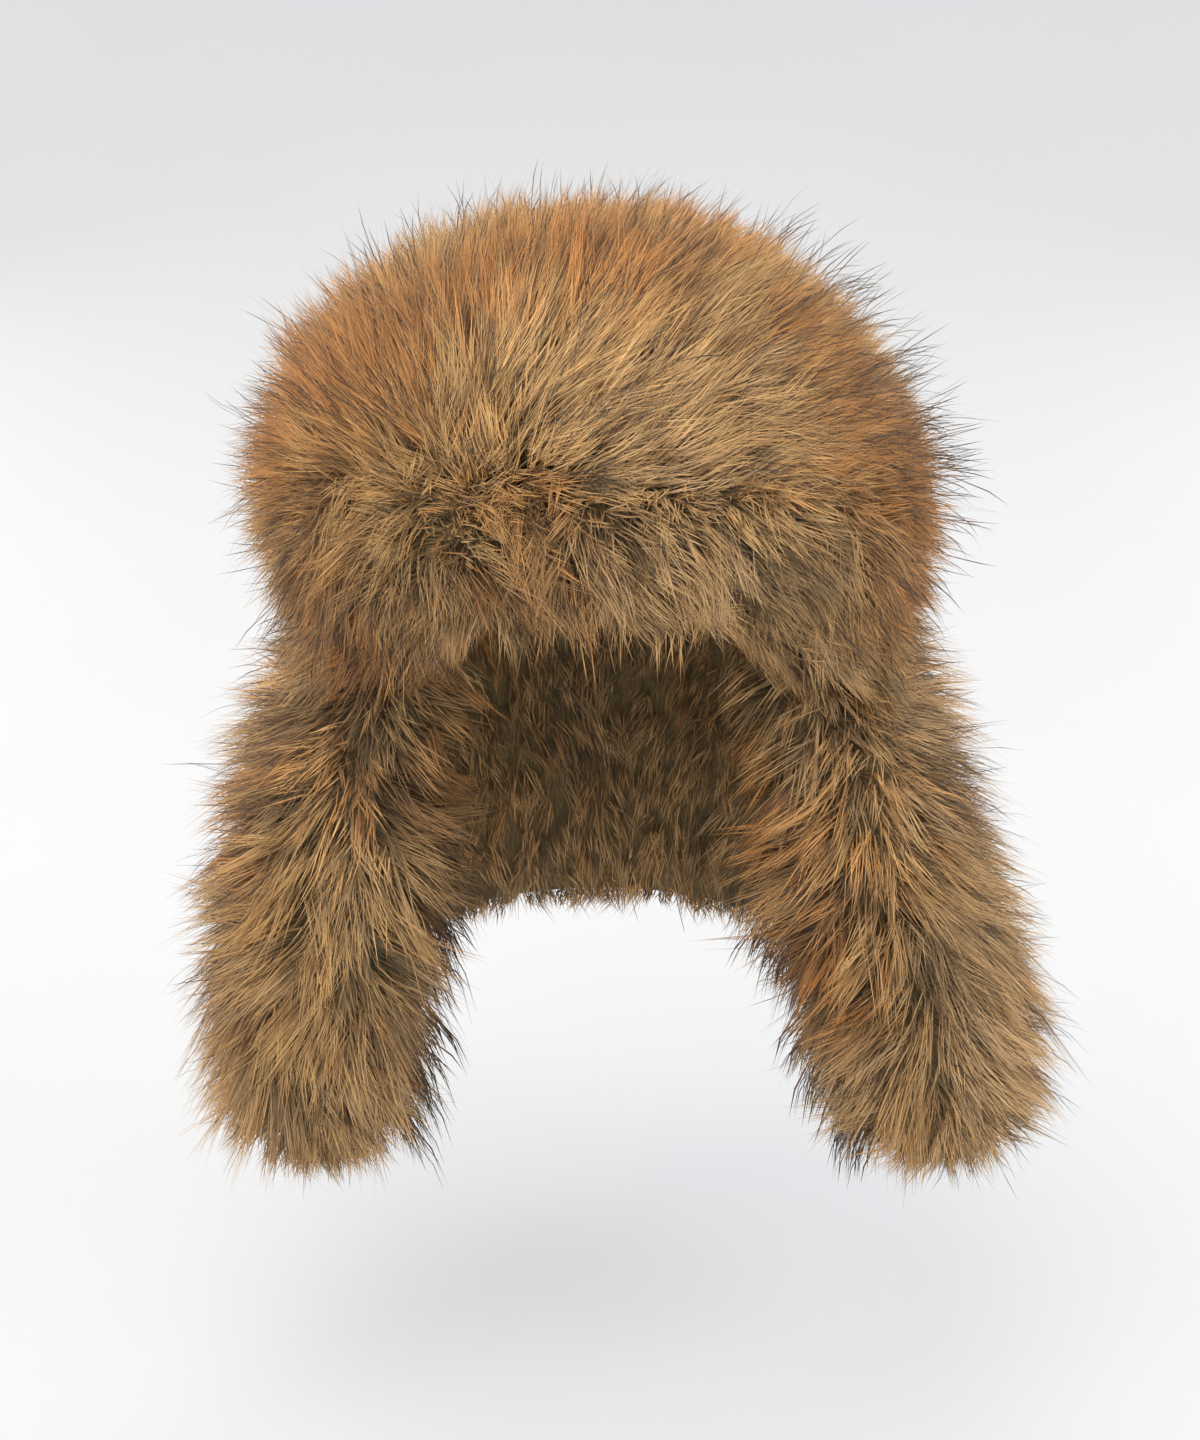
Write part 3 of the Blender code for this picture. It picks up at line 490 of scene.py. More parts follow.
def tufts(
    name, seed, coat, u_range, v_range, count, lay, lock,
    reach=0.8, keep=None, fuller=None, wave=0.0022, in_lock=4, closing=0.4,
):
    """Soft hair in tufts. A tuft stands at a place on the underfur; its hairs' roots are strewn round
    that place, and their tips close in on the tuft's own tip, which stands out by the pile's height
    and leans over by reach times that height along the lie of the fur. One tuft in every in_lock leads
    a lock: the tufts nearest to it share its swerve, tone and bend, and move in on its axis by the
    share closing. wave is how far a hair's middle bends aside."""
    rng = np.random.default_rng(seed)
    tuft_count = count // HAIRS_IN_TUFT
    u, v = scattered(rng, coat, u_range, v_range, tuft_count, keep)
    base, top = coat(u, v, 0.5), coat(u, v, 1.0)
    out = coat_frame(coat, u, v)
    lie = along_coat(lay, top, out, u, v)
    side = np.cross(out, unit(lie + 1e-4))
    leader, from_axis = lock_leaders(top, out, lie, np.arange(0, tuft_count, in_lock))

    def varied(by_lock, by_tuft):
        """A random number a tuft: one share drawn for its whole lock and one of its own."""
        return by_lock * rng.normal(size=tuft_count)[leader] + by_tuft * rng.normal(size=tuft_count)

    swerve = varied(LOCK_SWERVES, TUFT_SWERVES) + FIELD_SWERVES * patchy(top, FIELD_SIZE, seed)
    lie = lie + (swerve * np.linalg.norm(lie, axis=-1) ** 0.5)[:, None] * side
    height = np.linalg.norm(top - base, axis=-1)
    height = height + lock * (0.85 + HEIGHT_VARIES * rng.normal(size=tuft_count))
    if fuller:
        height = height * fuller(top)
    lean = height * reach * (1.0 + LEAN_VARIES * np.clip(rng.normal(size=tuft_count), -2.0, 1.2))
    gather = np.stack([patchy(top, GATHER_SIZE, seed + k) for k in (1, 2, 3)], axis=-1) * GATHER
    gather = (gather - closing * from_axis) * np.minimum(height / FULL_HEIGHT, 1.0)[:, None] ** 2
    tone = varied(LOCK_TONES, TUFT_TONES)
    # The patches' lightness, painted shade included, is added to the tone.
    patch_rust, patch_tone_and_shade = patch_colour_and_shade(top + 0.5 * lean[:, None] * lie)
    tone = tone + patch_tone_and_shade
    tone = np.where((rng.random(tuft_count) < DARK_LOCKS)[leader], DARK_LOCK_TONE, tone)

    pick = np.repeat(np.arange(tuft_count), HAIRS_IN_TUFT)
    hairs = len(pick)
    o, l, s = out[pick], lie[pick], side[pick]
    ahead, across = rng.normal(size=(2, hairs, 1)) * TUFT_SPREAD
    apart = ahead * np.cross(s, o) + across * s
    foot = base[pick] + apart
    long = rng.random(hairs) ** 0.7
    closes = TUFT_CLOSES * (0.5 + 0.5 * rng.random((hairs, 1)))
    whole = height[pick][:, None] * o + lean[pick][:, None] * l
    share = (SHORTEST_HAIR + HAIR_LENGTHS * long)[:, None]
    tip = base[pick] + share * whole + (1.0 - closes) * apart + gather[pick]
    tip = tip + rng.normal(size=(hairs, 3)) * TIP_STRAYS
    middle = foot + (tip - foot) * 0.5 + ARCH_OUT * height[pick][:, None] * o
    middle = middle - ARCH_BACK * lean[pick][:, None] * l
    bend = varied(LOCK_BENDS, TUFT_BENDS)[pick] + HAIR_BENDS * rng.normal(size=hairs)
    middle = middle + bend[:, None] * wave * s
    spine = np.stack([foot, middle, tip], axis=1)
    thick = HAIR_THICK * (SHORT_THICKER - LONG_THINNER * long)
    tone = tone[pick] + HAIR_TONES * rng.normal(size=hairs)
    rust = patch_rust + LOCK_RUST * rng.normal(size=tuft_count)[leader]
    rust = rust[pick] + HAIR_RUST * rng.normal(size=hairs)
    roll = HAIR_ROLL * rng.normal(size=hairs)
    dark_tip = (rng.random(tuft_count) < DARK_TIPPED_TUFTS)[pick] * (rng.random(hairs) < DARK_TIPPED_HAIRS)
    return strands(name, spine, thick, o, tone, rust, roll, dark_tip)


def guard_hairs(
    name, seed, coat, u_range, v_range, count, lay, lock, reach=0.6, keep=None, bunch=GUARDS_IN_BUNCH
):
    """Stiff dark hairs, finer and longer than the tufts. Each runs from its foot up by its rise, and
    over by its lean, late along its length. They stand in loose bunches, whose tips spread less where
    there are more hairs in a bunch."""
    rng = np.random.default_rng(seed)
    bunches = count // bunch
    u, v = scattered(rng, coat, u_range, v_range, bunches, keep)
    base, top = coat(u, v, 0.7), coat(u, v, 1.0)
    out = coat_frame(coat, u, v)
    lie = along_coat(lay, top, out, u, v)
    lie = lie + GUARD_SWERVES * rng.normal(size=(bunches, 1)) * np.cross(out, lie)
    proud = GUARD_PROUD * rng.random(bunches) ** 1.3
    height = np.linalg.norm(top - base, axis=-1) + lock * 0.9 + proud
    lean = height * reach * (0.6 + 0.6 * rng.random(bunches)) + 0.004
    pick = np.repeat(np.arange(bunches), bunch)
    hairs = len(pick)
    long = (0.70 + 0.36 * rng.random(hairs))[:, None]
    rise = height[pick][:, None] * out[pick] * long
    over = lean[pick][:, None] * lie[pick] * long
    foot = base[pick] + rng.normal(size=(hairs, 3)) * GUARD_FEET_STRAY
    end = np.clip(rng.normal(size=(hairs, 3)), -1.6, 1.6) * GUARD_ENDS_STRAY / math.sqrt(bunch)
    bow = rng.normal(size=(hairs, 1)) * GUARD_BOWS * np.cross(out, lie)[pick]
    spine = [foot + a * rise + b * over + a * a * end + 4 * a * (1 - a) * bow for a, b in GUARD_PATH]
    thick = GUARD_THICK * (0.7 + 0.7 * rng.random(hairs)) * (bunch / GUARDS_IN_BUNCH) ** 0.4
    tone = rng.normal(size=hairs)
    roll = rng.random(hairs) * 6.283
    return strands(name, np.stack(spine, axis=1), thick, out[pick], tone, 0 * tone, roll, 0 * tone)


def fur_finish(name, stops, rough, shine, tone_depth, rust_share):
    """Animal hair: keratin, with an IOR of 1.55 and a soft gloss along the strand. Its colour runs along
    the hair by the attribute along, shifted a little by tone. rust tints it warmer above 0 and more
    olive below, tone lightens or darkens the whole hair, by chance and by the colour patches, whose dark
    ones are in part painted shade, fine streaks differ from hair to hair, and dark_tip marks the hairs
    that end in dark brown. A weak sheen gives the pale edge of deep fur."""
    made, tree, shader = finish_named(name)
    along, across, tone, rust, dark = (
        node(tree, "ShaderNodeAttribute", {"attribute_name": key}).outputs["Fac"]
        for key in ("along", "across", "tone", "rust", "dark_tip")
    )
    add = {"operation": "MULTIPLY_ADD"}
    shift = node(tree, "ShaderNodeMath", add, _0=tone, _1=TONE_SHIFT, _2=along)
    ramp = node(tree, "ShaderNodeValToRGB", Fac=shift.outputs[0])
    colours = ramp.color_ramp.elements
    colours[0].position, colours[0].color = stops[0][0], linear(stops[0][1])
    colours[1].position, colours[1].color = stops[-1][0], linear(stops[-1][1])
    for position, colour in stops[1:-1]:
        colours.new(position).color = linear(colour)

    warm = mapped(tree, rust, 0.0, FULL_RUST, 0.0, rust_share)
    colour = mixed(tree, warm, ramp.outputs["Color"], RUST_TINT, "MULTIPLY")
    cool = mapped(tree, rust, 0.0, FULL_OLIVE, 0.0, 1.0)
    colour = mixed(tree, cool, colour, OLIVE_TINT, "MULTIPLY")
    # tone, with the painted shade of the colour patches in it, darkens or lightens the colour here.
    light = mapped(tree, tone, *TONE_RANGE, 1 - 1.6 * tone_depth, 1 + tone_depth)
    colour = mixed(tree, 1.0, colour, light, "MULTIPLY")
    fine = node(tree, "ShaderNodeTexNoise", {"noise_dimensions": "1D"}, W=across, Scale=1.0, Detail=1.0)
    streak = mapped(tree, fine.outputs["Fac"], *NOISE_RANGE, *STREAK_RANGE)
    colour = mixed(tree, 1.0, colour, streak, "MULTIPLY")
    near_tip = mapped(tree, along, *DARK_TIP_RANGE, 0.0, dark)
    colour = mixed(tree, near_tip, colour, linear(DARK_TIP))
    tree.links.new(colour, shader.inputs["Base Color"])
    shader.inputs["Roughness"].default_value = rough
    shader.inputs["IOR"].default_value = 1.55
    shader.inputs["Specular IOR Level"].default_value = shine
    shader.inputs["Sheen Weight"].default_value = 0.12
    shader.inputs["Sheen Roughness"].default_value = 0.45
    shader.inputs["Sheen Tint"].default_value = linear(SHEEN_CREAM)
    return made


# The soft hair is banded like a fox's, so the coat looks pale on its surface and deep olive in its
# partings. The guard hair is stiffer and glossier, and near black from its middle to its end.
soft_hair = fur_finish(
    "fox_brown_soft_hair",
    ((0.0, ROOT_OLIVE), (0.25, STEM_OLIVE), (0.50, STEM_TAN), (0.78, BAND_CREAM), (1.0, TIP_TAN)),
    rough=0.55, shine=0.35, tone_depth=0.37, rust_share=1.0,
)
guard_hair = fur_finish(
    "dark_guard_hair",
    ((0.0, GUARD_ROOT), (0.4, GUARD_ROOT), (0.7, GUARD_TIP), (1.0, GUARD_TIP)),
    rough=0.45, shine=0.4, tone_depth=0.2, rust_share=0.0,
)

# Woolly underfur: fine crimped hair with no gloss, drawn as upright streaks about a millimetre wide. It
# shows only as the dull olive ground between the tufts.
underfur, tree, shader = finish_named("woolly_underfur")
place = node(tree, "ShaderNodeTexCoord").outputs["Object"]
drawn = node(tree, "ShaderNodeMapping", Vector=place, Scale=(1.0, 1.0, 0.14))
wool = node(
    tree, "ShaderNodeTexNoise", Vector=drawn.outputs["Vector"], Scale=900.0, Detail=4.0, Roughness=0.7
)
ramp = node(tree, "ShaderNodeValToRGB", Fac=wool.outputs["Fac"])
ramp.color_ramp.elements[0].position = 0.35
ramp.color_ramp.elements[0].color = linear(WOOL_DEEP)
ramp.color_ramp.elements[1].position = 0.7
ramp.color_ramp.elements[1].color = linear(WOOL_LIGHT)
bump = node(tree, "ShaderNodeBump", Strength=0.8, Distance=0.002, Height=wool.outputs["Fac"])
tree.links.new(ramp.outputs["Color"], shader.inputs["Base Color"])
tree.links.new(bump.outputs["Normal"], shader.inputs["Normal"])
shader.inputs["Roughness"].default_value = 0.95


def fur_piece(piece, finish, *stands_for):
    """Gives a piece of fur its finish and fixes it to the hat."""
    piece.data.materials.append(finish)
    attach(piece, "root")
    if stands_for:
        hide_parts(*stands_for)


def crown_underfur():
    """The woolly layer as one closed surface: down the outside at the underfur's depth, roughened by
    small waves, in under the rim, and up against the lining. The brow flap presses it flat."""
    angle = np.linspace(0, 2 * math.pi, CROWN_COLUMNS, endpoint=False)
    share = np.concatenate([np.linspace(0, 1, CROWN_FACE_ROWS), np.linspace(1, 0, CROWN_BACK_ROWS)])
    face = np.repeat([1.0, 0.0], [CROWN_FACE_ROWS, CROWN_BACK_ROWS])[:, None]
    share, angle = np.meshgrid(share, angle, indexing="ij")
    points = crown_coat(angle, share, UNDERFUR * face)
    rough = UNDERFUR_ROUGH * face * patchy(points, 0.008, 3)
    beside = step(from_front(angle), 0.98 * BROW_HALF_ANGLE, 1.02 * BROW_HALF_ANGLE)
    pressed = step(share, 0.47, 0.5) * (1 - beside)
    depth = face * (UNDERFUR - (UNDERFUR - UNDERFUR_PRESSED) * pressed) + rough / CROWN_PILE
    return crown_coat(angle, share, depth)


fur_piece(grid_of("crown_underfur", crown_underfur()), underfur, "crown_fur")


def crown_lay(top, out, u, v):
    """The lie of the crown's fur: away from the whorl on the wearer's right brow, sinking more and more
    towards the back and the rim. Close to the whorl and to the brow flap the hair stands up."""
    apart = top - WHORL
    away = unit(apart)
    behind = step(top[:, 1], -0.02, 0.13)[:, None]
    low = step(-top[:, 2], 0.03, 0.12)[:, None]
    lie = away * (1.05 - 0.8 * behind) + np.array([0.0, 0.0, -1.0]) * (0.1 + 0.7 * behind + 0.9 * low)
    by_whorl = 0.3 + 0.7 * step(np.linalg.norm(apart, axis=-1), 0.006, 0.026)
    by_flap = 0.6 + 0.4 * step(0.50 - v, 0.0, 0.07)
    beside = step(from_front(u), BROW_HALF_ANGLE, 1.25 * BROW_HALF_ANGLE)
    return lie * (by_whorl * np.maximum(by_flap, beside))[:, None]


def crown_dense(u, v):
    """How dense the crown's hair stands: none on the strip that the brow flap covers, and more round
    that flap's ends and along its upper edge, where it stands up and would show its roots."""
    turned = from_front(u)
    clear = 1.0 - (turned < RIM_FALLS_TO) * (v > 0.515)
    past_end = step(turned, 0.9 * BROW_HALF_ANGLE, BROW_HALF_ANGLE)
    by_end = past_end * (1 - step(turned, 1.1 * BROW_HALF_ANGLE, 1.35 * BROW_HALF_ANGLE))
    clear = clear * (1.0 + 1.1 * by_end * step(v, 0.35, 0.5))
    beside = step(turned, 0.8 * BROW_HALF_ANGLE, 1.1 * BROW_HALF_ANGLE)
    return clear * (1.0 + 1.3 * step(v, 0.24, 0.46) * (1 - beside))


def crown_full(top):
    """The crown's height of hair: a quarter less high up on the wearer's left side, a tenth more high up
    on the right, and a quarter more low down on both sides, over the ear flaps' tops."""
    low = step(-top[:, 2], 0.08, 0.125) * step(np.abs(top[:, 0]), 0.08, 0.12)
    left = step(-top[:, 0], 0.10, 0.13) * step(top[:, 2], -0.09, -0.05)
    right = 0.28 * step(top[:, 0], 0.02, 0.10) * step(top[:, 2], -0.09, -0.03)
    return 1.0 - right + 0.25 * low + 0.10 * left


ALL_ROUND = (-math.pi, math.pi)
CROWN_GUARDS = 3600
CROWN_PARTS = (
    ("front", 11, (-0.36 * math.pi, 0.36 * math.pi), 32000),
    ("sides", 12, (0.36 * math.pi, 1.64 * math.pi), 31000),
)
for part, seed, span, hairs in CROWN_PARTS:
    crown_hair = tufts(
        f"crown_soft_hair_{part}", seed, crown_coat, span, (0.0, 1.0), hairs, crown_lay, CROWN_LOCK,
        reach=CROWN_REACH, keep=crown_dense, fuller=crown_full, in_lock=5, closing=0.5,
    )
    fur_piece(crown_hair, soft_hair)
crown_guards = guard_hairs(
    "crown_guard_hair", 15, crown_coat, ALL_ROUND, (0.0, 1.0), CROWN_GUARDS, crown_lay, CROWN_LOCK,
    keep=crown_dense,
)
fur_piece(crown_guards, guard_hair)

# The brow flap is the same pelt turned up over the crown's front and parted at its upper edge, so that
# its hair falls over the forehead. Its locks are the widest, and wave the most.
BROW_UNDERFUR = 0.009
BROW_SEAT = 2 * WALL + 4 * GAP + BROW_UNDERFUR
BROW_PILE = CROWN_PILE - BROW_UNDERFUR - WALL - 2 * GAP
BROW_UNDERSIDE = 1.3
BROW_THINS = 0.35
BROW_THINS_FROM = 0.65
BROW_LOCK = 0.012
BROW_REACH = 1.0
BROW_WAVE = 0.0036
BROW_HAIRS = 22000
BROW_GUARDS = 700
BROW_SPAN = (-1.02 * BROW_HALF_ANGLE, 1.02 * BROW_HALF_ANGLE)
BROW_COLUMNS = 70
BROW_FACE_ROWS = 16
BROW_BACK_ROWS = 8


def brow_coat(angle, share, depth):
    """A point in the brow flap's pile. Shares from 0 to 1 run down its face, and on to BROW_UNDERSIDE
    they run in under it to the rim."""
    on_face = np.minimum(share, 1.0)
    inward = np.clip((share - 1.0) / (BROW_UNDERSIDE - 1.0), 0.0, 1.0)
    rounded = 1.0 - BROW_THINS * step(0.5 + 0.5 * on_face, BROW_THINS_FROM, 1.0)
    lift = WALL + GAP + CROWN_PILE_TOP
    drop = crown_drop(0.5 + 0.5 * on_face, angle, lift)
    grow = BROW_SEAT + depth * BROW_PILE * rounded * (1 - inward) - (BROW_UNDERFUR + WALL) * inward
    points = crown_point(angle, drop, grow, lift)
    points[..., 2] += (1.0 - depth) * 0.008 * (inward > 0)
    return points


def brow_underfur():
    """The flap's woolly layer: a closed roll, round whose section the columns run, from one end of the
    flap to the other."""
    angle = np.linspace(-BROW_HALF_ANGLE, BROW_HALF_ANGLE, BROW_COLUMNS)
    share = np.concatenate([np.linspace(0.02, 1, BROW_FACE_ROWS), np.linspace(1, 0.02, BROW_BACK_ROWS)])
    depth = np.concatenate([np.full(BROW_FACE_ROWS, UNDERFUR), np.zeros(BROW_BACK_ROWS)])
    ends = np.array([0.02, *np.ones(BROW_COLUMNS - 2), 0.02])[:, None]
    grid = brow_coat(angle[:, None], share[None, :], depth[None, :] * ends)
    first, last = grid[:1].mean(axis=1, keepdims=True), grid[-1:].mean(axis=1, keepdims=True)
    columns = grid.shape[1]
    return np.concatenate([np.repeat(first, columns, 1), grid, np.repeat(last, columns, 1)])


fur_piece(grid_of("brow_flap_underfur", brow_underfur()), underfur, "brow_flap_fur")


def brow_lay(top, out, u, v):
    """Down over the forehead, fanning out to both sides of a point above the wearer's right eye. Along
    the flap's upper edge the hair stands up, and by a bell curve round the whorl it lies away from the
    whorl instead."""
    side = np.clip((top[:, 0] + 0.055) / 0.09, -1.0, 1.0)
    at_end = step(np.abs(u), 0.72 * BROW_HALF_ANGLE, BROW_HALF_ANGLE)
    back = 0.9 * at_end * np.sin(np.abs(u))
    lie = unit(np.stack([0.55 * side, back, -1.0 + 0 * side], axis=-1))
    apart = top - WHORL
    far = np.linalg.norm(apart, axis=-1)[:, None]
    by_whorl = np.exp(-((far / 0.034) ** 2))
    standing = 0.10 + 0.90 * step(v, 0.0, 0.30)[:, None]
    round_whorl = unit(apart) * (0.25 + 0.75 * step(far, 0.006, 0.024))
    return lie * standing * (1 - by_whorl) + round_whorl * by_whorl


def brow_dense(u, v):
    """Denser along the flap's upper edge, at its ends and below the whorl."""
    ends = step(np.abs(u), 0.8 * BROW_HALF_ANGLE, 0.95 * BROW_HALF_ANGLE)
    below_whorl = np.exp(-(((u + 0.32) / 0.25) ** 2)) * (1 - step(v, 0.3, 0.7))
    return 1.0 + 1.2 * (1 - step(v, 0.05, 0.4)) + 1.2 * ends + 1.3 * below_whorl


brow_hair = tufts(
    "brow_flap_soft_hair", 21, brow_coat, BROW_SPAN, (0.0, BROW_UNDERSIDE), BROW_HAIRS, brow_lay,
    BROW_LOCK, reach=BROW_REACH, keep=brow_dense, wave=BROW_WAVE, in_lock=8, closing=0.8,
)
fur_piece(brow_hair, soft_hair)
brow_guards = guard_hairs(
    "brow_flap_guard_hair", 22, brow_coat, BROW_SPAN, (0.0, 1.0), BROW_GUARDS, brow_lay, BROW_LOCK,
    reach=BROW_REACH,
)
fur_piece(brow_guards, guard_hair)

# Each ear flap is two pelts sewn back to back round its edge, so it is furred on both faces. The hair
# parts down the front, falls to both sides and hangs below the hem, and along the lower inner edge
# stiff dark hairs stand out in bunches like the teeth of a comb.
EAR_FROM = BROW_HALF_ANGLE + math.radians(1)
EAR_TO = math.radians(122)
EAR_LENGTH = 0.196
EAR_HEM_PILE = 0.016
EAR_FLARE = {1: 0.078, -1: 0.050}
EAR_TURN = {1: math.radians(16), -1: math.radians(7)}
EAR_FORWARD = 0.010
EAR_PILE_OUT = 0.038
EAR_PILE_IN = 0.034
EAR_PILE_FRONT = 0.030
EAR_LOCK = 0.0152
EAR_REACH = 1.15
EAR_HAIRS = 22000
EAR_GUARDS = 1100
EAR_GUARD_LOCK = 0.010
EAR_GUARD_REACH = 0.8
EAR_PARTING = {1: -0.45, -1: 0.1}
EAR_PARTING_WIDE = 0.5
COMB_HAIRS = 900
COMB_BUNCH = 18
COMB_LOCK = 0.018
COMB_ROUND = {1: (-0.80 * math.pi, -0.54 * math.pi), -1: (-0.72 * math.pi, -0.46 * math.pi)}
COMB_DOWN = (0.36, 0.93)
EAR_COLUMNS = 48
EAR_ROWS = 40
EAR_ROWS_CROWD = 0.9
RIM_HALF_WIDTH = CROWN_HALF_WIDTH - RIM_CLOSES_IN + WALL / 2
RIM_HALF_DEPTH = CROWN_HALF_DEPTH - RIM_CLOSES_IN + WALL / 2
EAR_TABLE = np.array([
    # drop, flare right, flare left, width, pile out, pile in, front pile, forward, turn, bow
    (0.00, 0.00, 0.00, 1.00, 0.86, 0.24, 0.55, 0.00, 0.00, 1.00),
    (0.10, 0.14, 0.24, 1.01, 0.92, 0.36, 0.75, 0.10, 0.10, 0.95),
    (0.22, 0.31, 0.48, 1.03, 1.00, 0.64, 0.95, 0.25, 0.30, 0.80),
    (0.40, 0.50, 0.68, 1.03, 1.03, 0.98, 1.00, 0.45, 0.60, 0.60),
    (0.60, 0.72, 0.86, 0.98, 1.00, 1.00, 1.00, 0.70, 0.85, 0.45),
    (0.78, 0.90, 0.98, 0.88, 0.94, 0.96, 0.95, 0.90, 1.00, 0.35),
    (0.90, 0.98, 1.00, 0.68, 0.80, 0.84, 0.80, 1.00, 1.00, 0.25),
    (0.97, 1.00, 0.98, 0.40, 0.52, 0.54, 0.50, 1.00, 1.00, 0.10),
    (1.00, 1.00, 0.97, 0.00, 0.00, 0.00, 0.00, 1.00, 1.00, 0.00),
])


def read_table(table, share):
    """Each column of a table at the given shares of its first, on cubic curves through the rows."""
    at, values = table[:, 0], table[:, 1:]
    slopes = np.gradient(values, at, axis=0)
    share = np.clip(share, 0.0, 1.0)
    row = np.clip(np.searchsorted(at, share, side="right") - 1, 0, len(at) - 2)
    span = (at[row + 1] - at[row])[..., None]
    t = (share - at[row])[..., None] / span
    start, end = values[row], values[row + 1]
    curve = start * (1 + 2 * t) * (1 - t) ** 2 + end * t**2 * (3 - 2 * t)
    curve = curve + span * (slopes[row] * t * (1 - t) ** 2 - slopes[row + 1] * t**2 * (1 - t))
    return np.moveaxis(np.maximum(curve, 0.0), -1, 0)


def flap_wool(coat, columns, rows, crowd=1.0):
    """A hanging flap's woolly layer: a ring of points on its cloth's top edge, then rings down its coat
    at the underfur's depth, closer towards the hem if crowd is below 1."""
    turn = np.linspace(math.pi, -math.pi, columns, endpoint=False)
    share = np.concatenate([[0.0], np.linspace(0.0, 1.0, rows) ** crowd])
    depth = np.array([0.0, *np.full(rows, UNDERFUR)])
    return coat(turn[None, :], share[:, None], depth[:, None])


def ear_coat(side):
    """The pile of one ear flap as a function of the angle round its section, the share of the way down
    and the depth. The section is an oval with its own depth for each face, pi at the front edge."""
    front, back = -RIM_HALF_DEPTH * math.cos(EAR_FROM), -RIM_HALF_DEPTH * math.cos(EAR_TO)
    half, middle = (back - front) / 2, (back + front) / 2
    chord = RIM_HALF_WIDTH * math.sin(EAR_FROM)
    bow_out = RIM_HALF_WIDTH - chord

    def coat(turn, share, depth):
        table = read_table(EAR_TABLE, share + 0 * turn)
        flare_right, flare_left, width, out, inside, edge, forward, twist, bow = table
        beyond = np.where(np.cos(turn) < 0, EAR_PILE_FRONT * edge, 4 * GAP)
        across = np.cos(turn) * (half * width + depth * beyond)
        pile = np.where(np.sin(turn) > 0, EAR_PILE_OUT * out, EAR_PILE_IN * inside)
        off = np.sign(np.sin(turn)) * np.abs(np.sin(turn)) ** 0.7 * (depth * pile + WALL / 2 + GAP)
        flat = np.clip(across / half, -1.0, 1.0)
        away = off + bow_out * bow * (1.0 - flat**2)
        swing = EAR_FLARE[side] * (flare_right if side > 0 else flare_left)
        twist = EAR_TURN[side] * twist
        x = side * (chord + swing + np.sin(twist) * across + np.cos(twist) * away)
        y = middle - EAR_FORWARD * forward + np.cos(twist) * across - np.sin(twist) * away
        shorter = 1.0 - (1.0 - depth) * 0.05 * step(share, 0.8, 1.0)
        z = -(RIM_DROP_SIDE + GAP + share * (EAR_LENGTH + EAR_HEM_PILE) * shorter)
        return np.stack([x, y, z + 0 * x], axis=-1)

    return coat


def ear_lay(side):
    """The lie of an ear flap's fur: down, and to both sides of a parting that runs down near its front
    edge. The spread grows with the angle from the parting, and is less lower down."""
    parting = math.pi + side * EAR_PARTING[side]
    coat = ear_coat(side)

    def lay(top, out, u, v):
        tiny = 1e-3
        round_it = unit(coat(u + tiny, v, 1.0) - coat(u - tiny, v, 1.0))
        off = ((u - parting + math.pi) % (2 * math.pi) - math.pi) / EAR_PARTING_WIDE
        spread = np.clip(off, -1.0, 1.0) * (0.80 - 0.35 * step(v, 0.40, 1.0))
        standing = 0.75 + 0.25 * step(np.abs(off), 0.0, 1.0)
        down = -0.85 + 0.45 * step(v, 0.75, 0.95)
        fall = np.stack([0 * down, 0 * down, down], axis=-1)
        return (fall + spread[:, None] * round_it) * standing[:, None]

    return lay


def ear_dense(side):
    """Denser along the parting, and less on the hidden back edge."""

    def dense(u, v):
        off = (u - math.pi - side * EAR_PARTING[side] + math.pi) % (2 * math.pi) - math.pi
        return 1.0 + 1.4 * (1 - step(np.abs(off), 0.15, 0.75)) - 0.15 * step(np.abs(off), 1.6, 2.4)

    return dense


def ear_full_right(top):
    """The right flap's height of hair: a fifth more at its top, where it meets the crown's side."""
    return 1.0 + 0.2 * (1 - step(-top[:, 2], 0.135, 0.185)) * step(top[:, 0], 0.09, 0.12)


def ear_guards_dense(u, v):
    """Guard hairs stand mostly on the outer face and the front."""
    return 0.25 + 0.75 * step(np.sin(u), -0.7, 0.0)


def comb_lay(top, out, u, v):
    """The lie of the stiff dark bunches on an ear flap's inner edge: straight down."""
    return np.array([0.0, 0.0, -0.95]) + 0 * out


for side, word in ((-1, "left"), (1, "right")):
    coat, lay = ear_coat(side), ear_lay(side)
    grid = flap_wool(coat, EAR_COLUMNS, EAR_ROWS, crowd=EAR_ROWS_CROWD)
    top_pole = np.repeat(grid[:1].mean(1, keepdims=True), EAR_COLUMNS, 1)
    hem_pole = np.repeat(grid[-1:].mean(1, keepdims=True), EAR_COLUMNS, 1)
    ear_wool = grid_of(f"ear_flap_{word}_underfur", np.concatenate([top_pole, grid, hem_pole]))
    fur_piece(ear_wool, underfur, f"ear_flap_{word}_fur")
    fuller = ear_full_right if side > 0 else None
    ear_hair = tufts(
        f"ear_flap_{word}_soft_hair", 30 + side, coat, ALL_ROUND, (0.0, 1.0), EAR_HAIRS, lay, EAR_LOCK,
        reach=EAR_REACH, keep=ear_dense(side), fuller=fuller, in_lock=6, closing=0.6,
    )
    fur_piece(ear_hair, soft_hair)
    ear_guards = guard_hairs(
        f"ear_flap_{word}_guard_hair", 40 + side, coat, ALL_ROUND, (0.0, 1.0), EAR_GUARDS, lay,
        EAR_GUARD_LOCK, reach=EAR_GUARD_REACH, keep=ear_guards_dense,
    )
    fur_piece(ear_guards, guard_hair)
    dark_bunches = guard_hairs(
        f"ear_flap_{word}_dark_bunches", 60 + side, coat, COMB_ROUND[side], COMB_DOWN, COMB_HAIRS,
        comb_lay, COMB_LOCK, reach=EAR_GUARD_REACH, bunch=COMB_BUNCH,
    )
    fur_piece(dark_bunches, guard_hair)

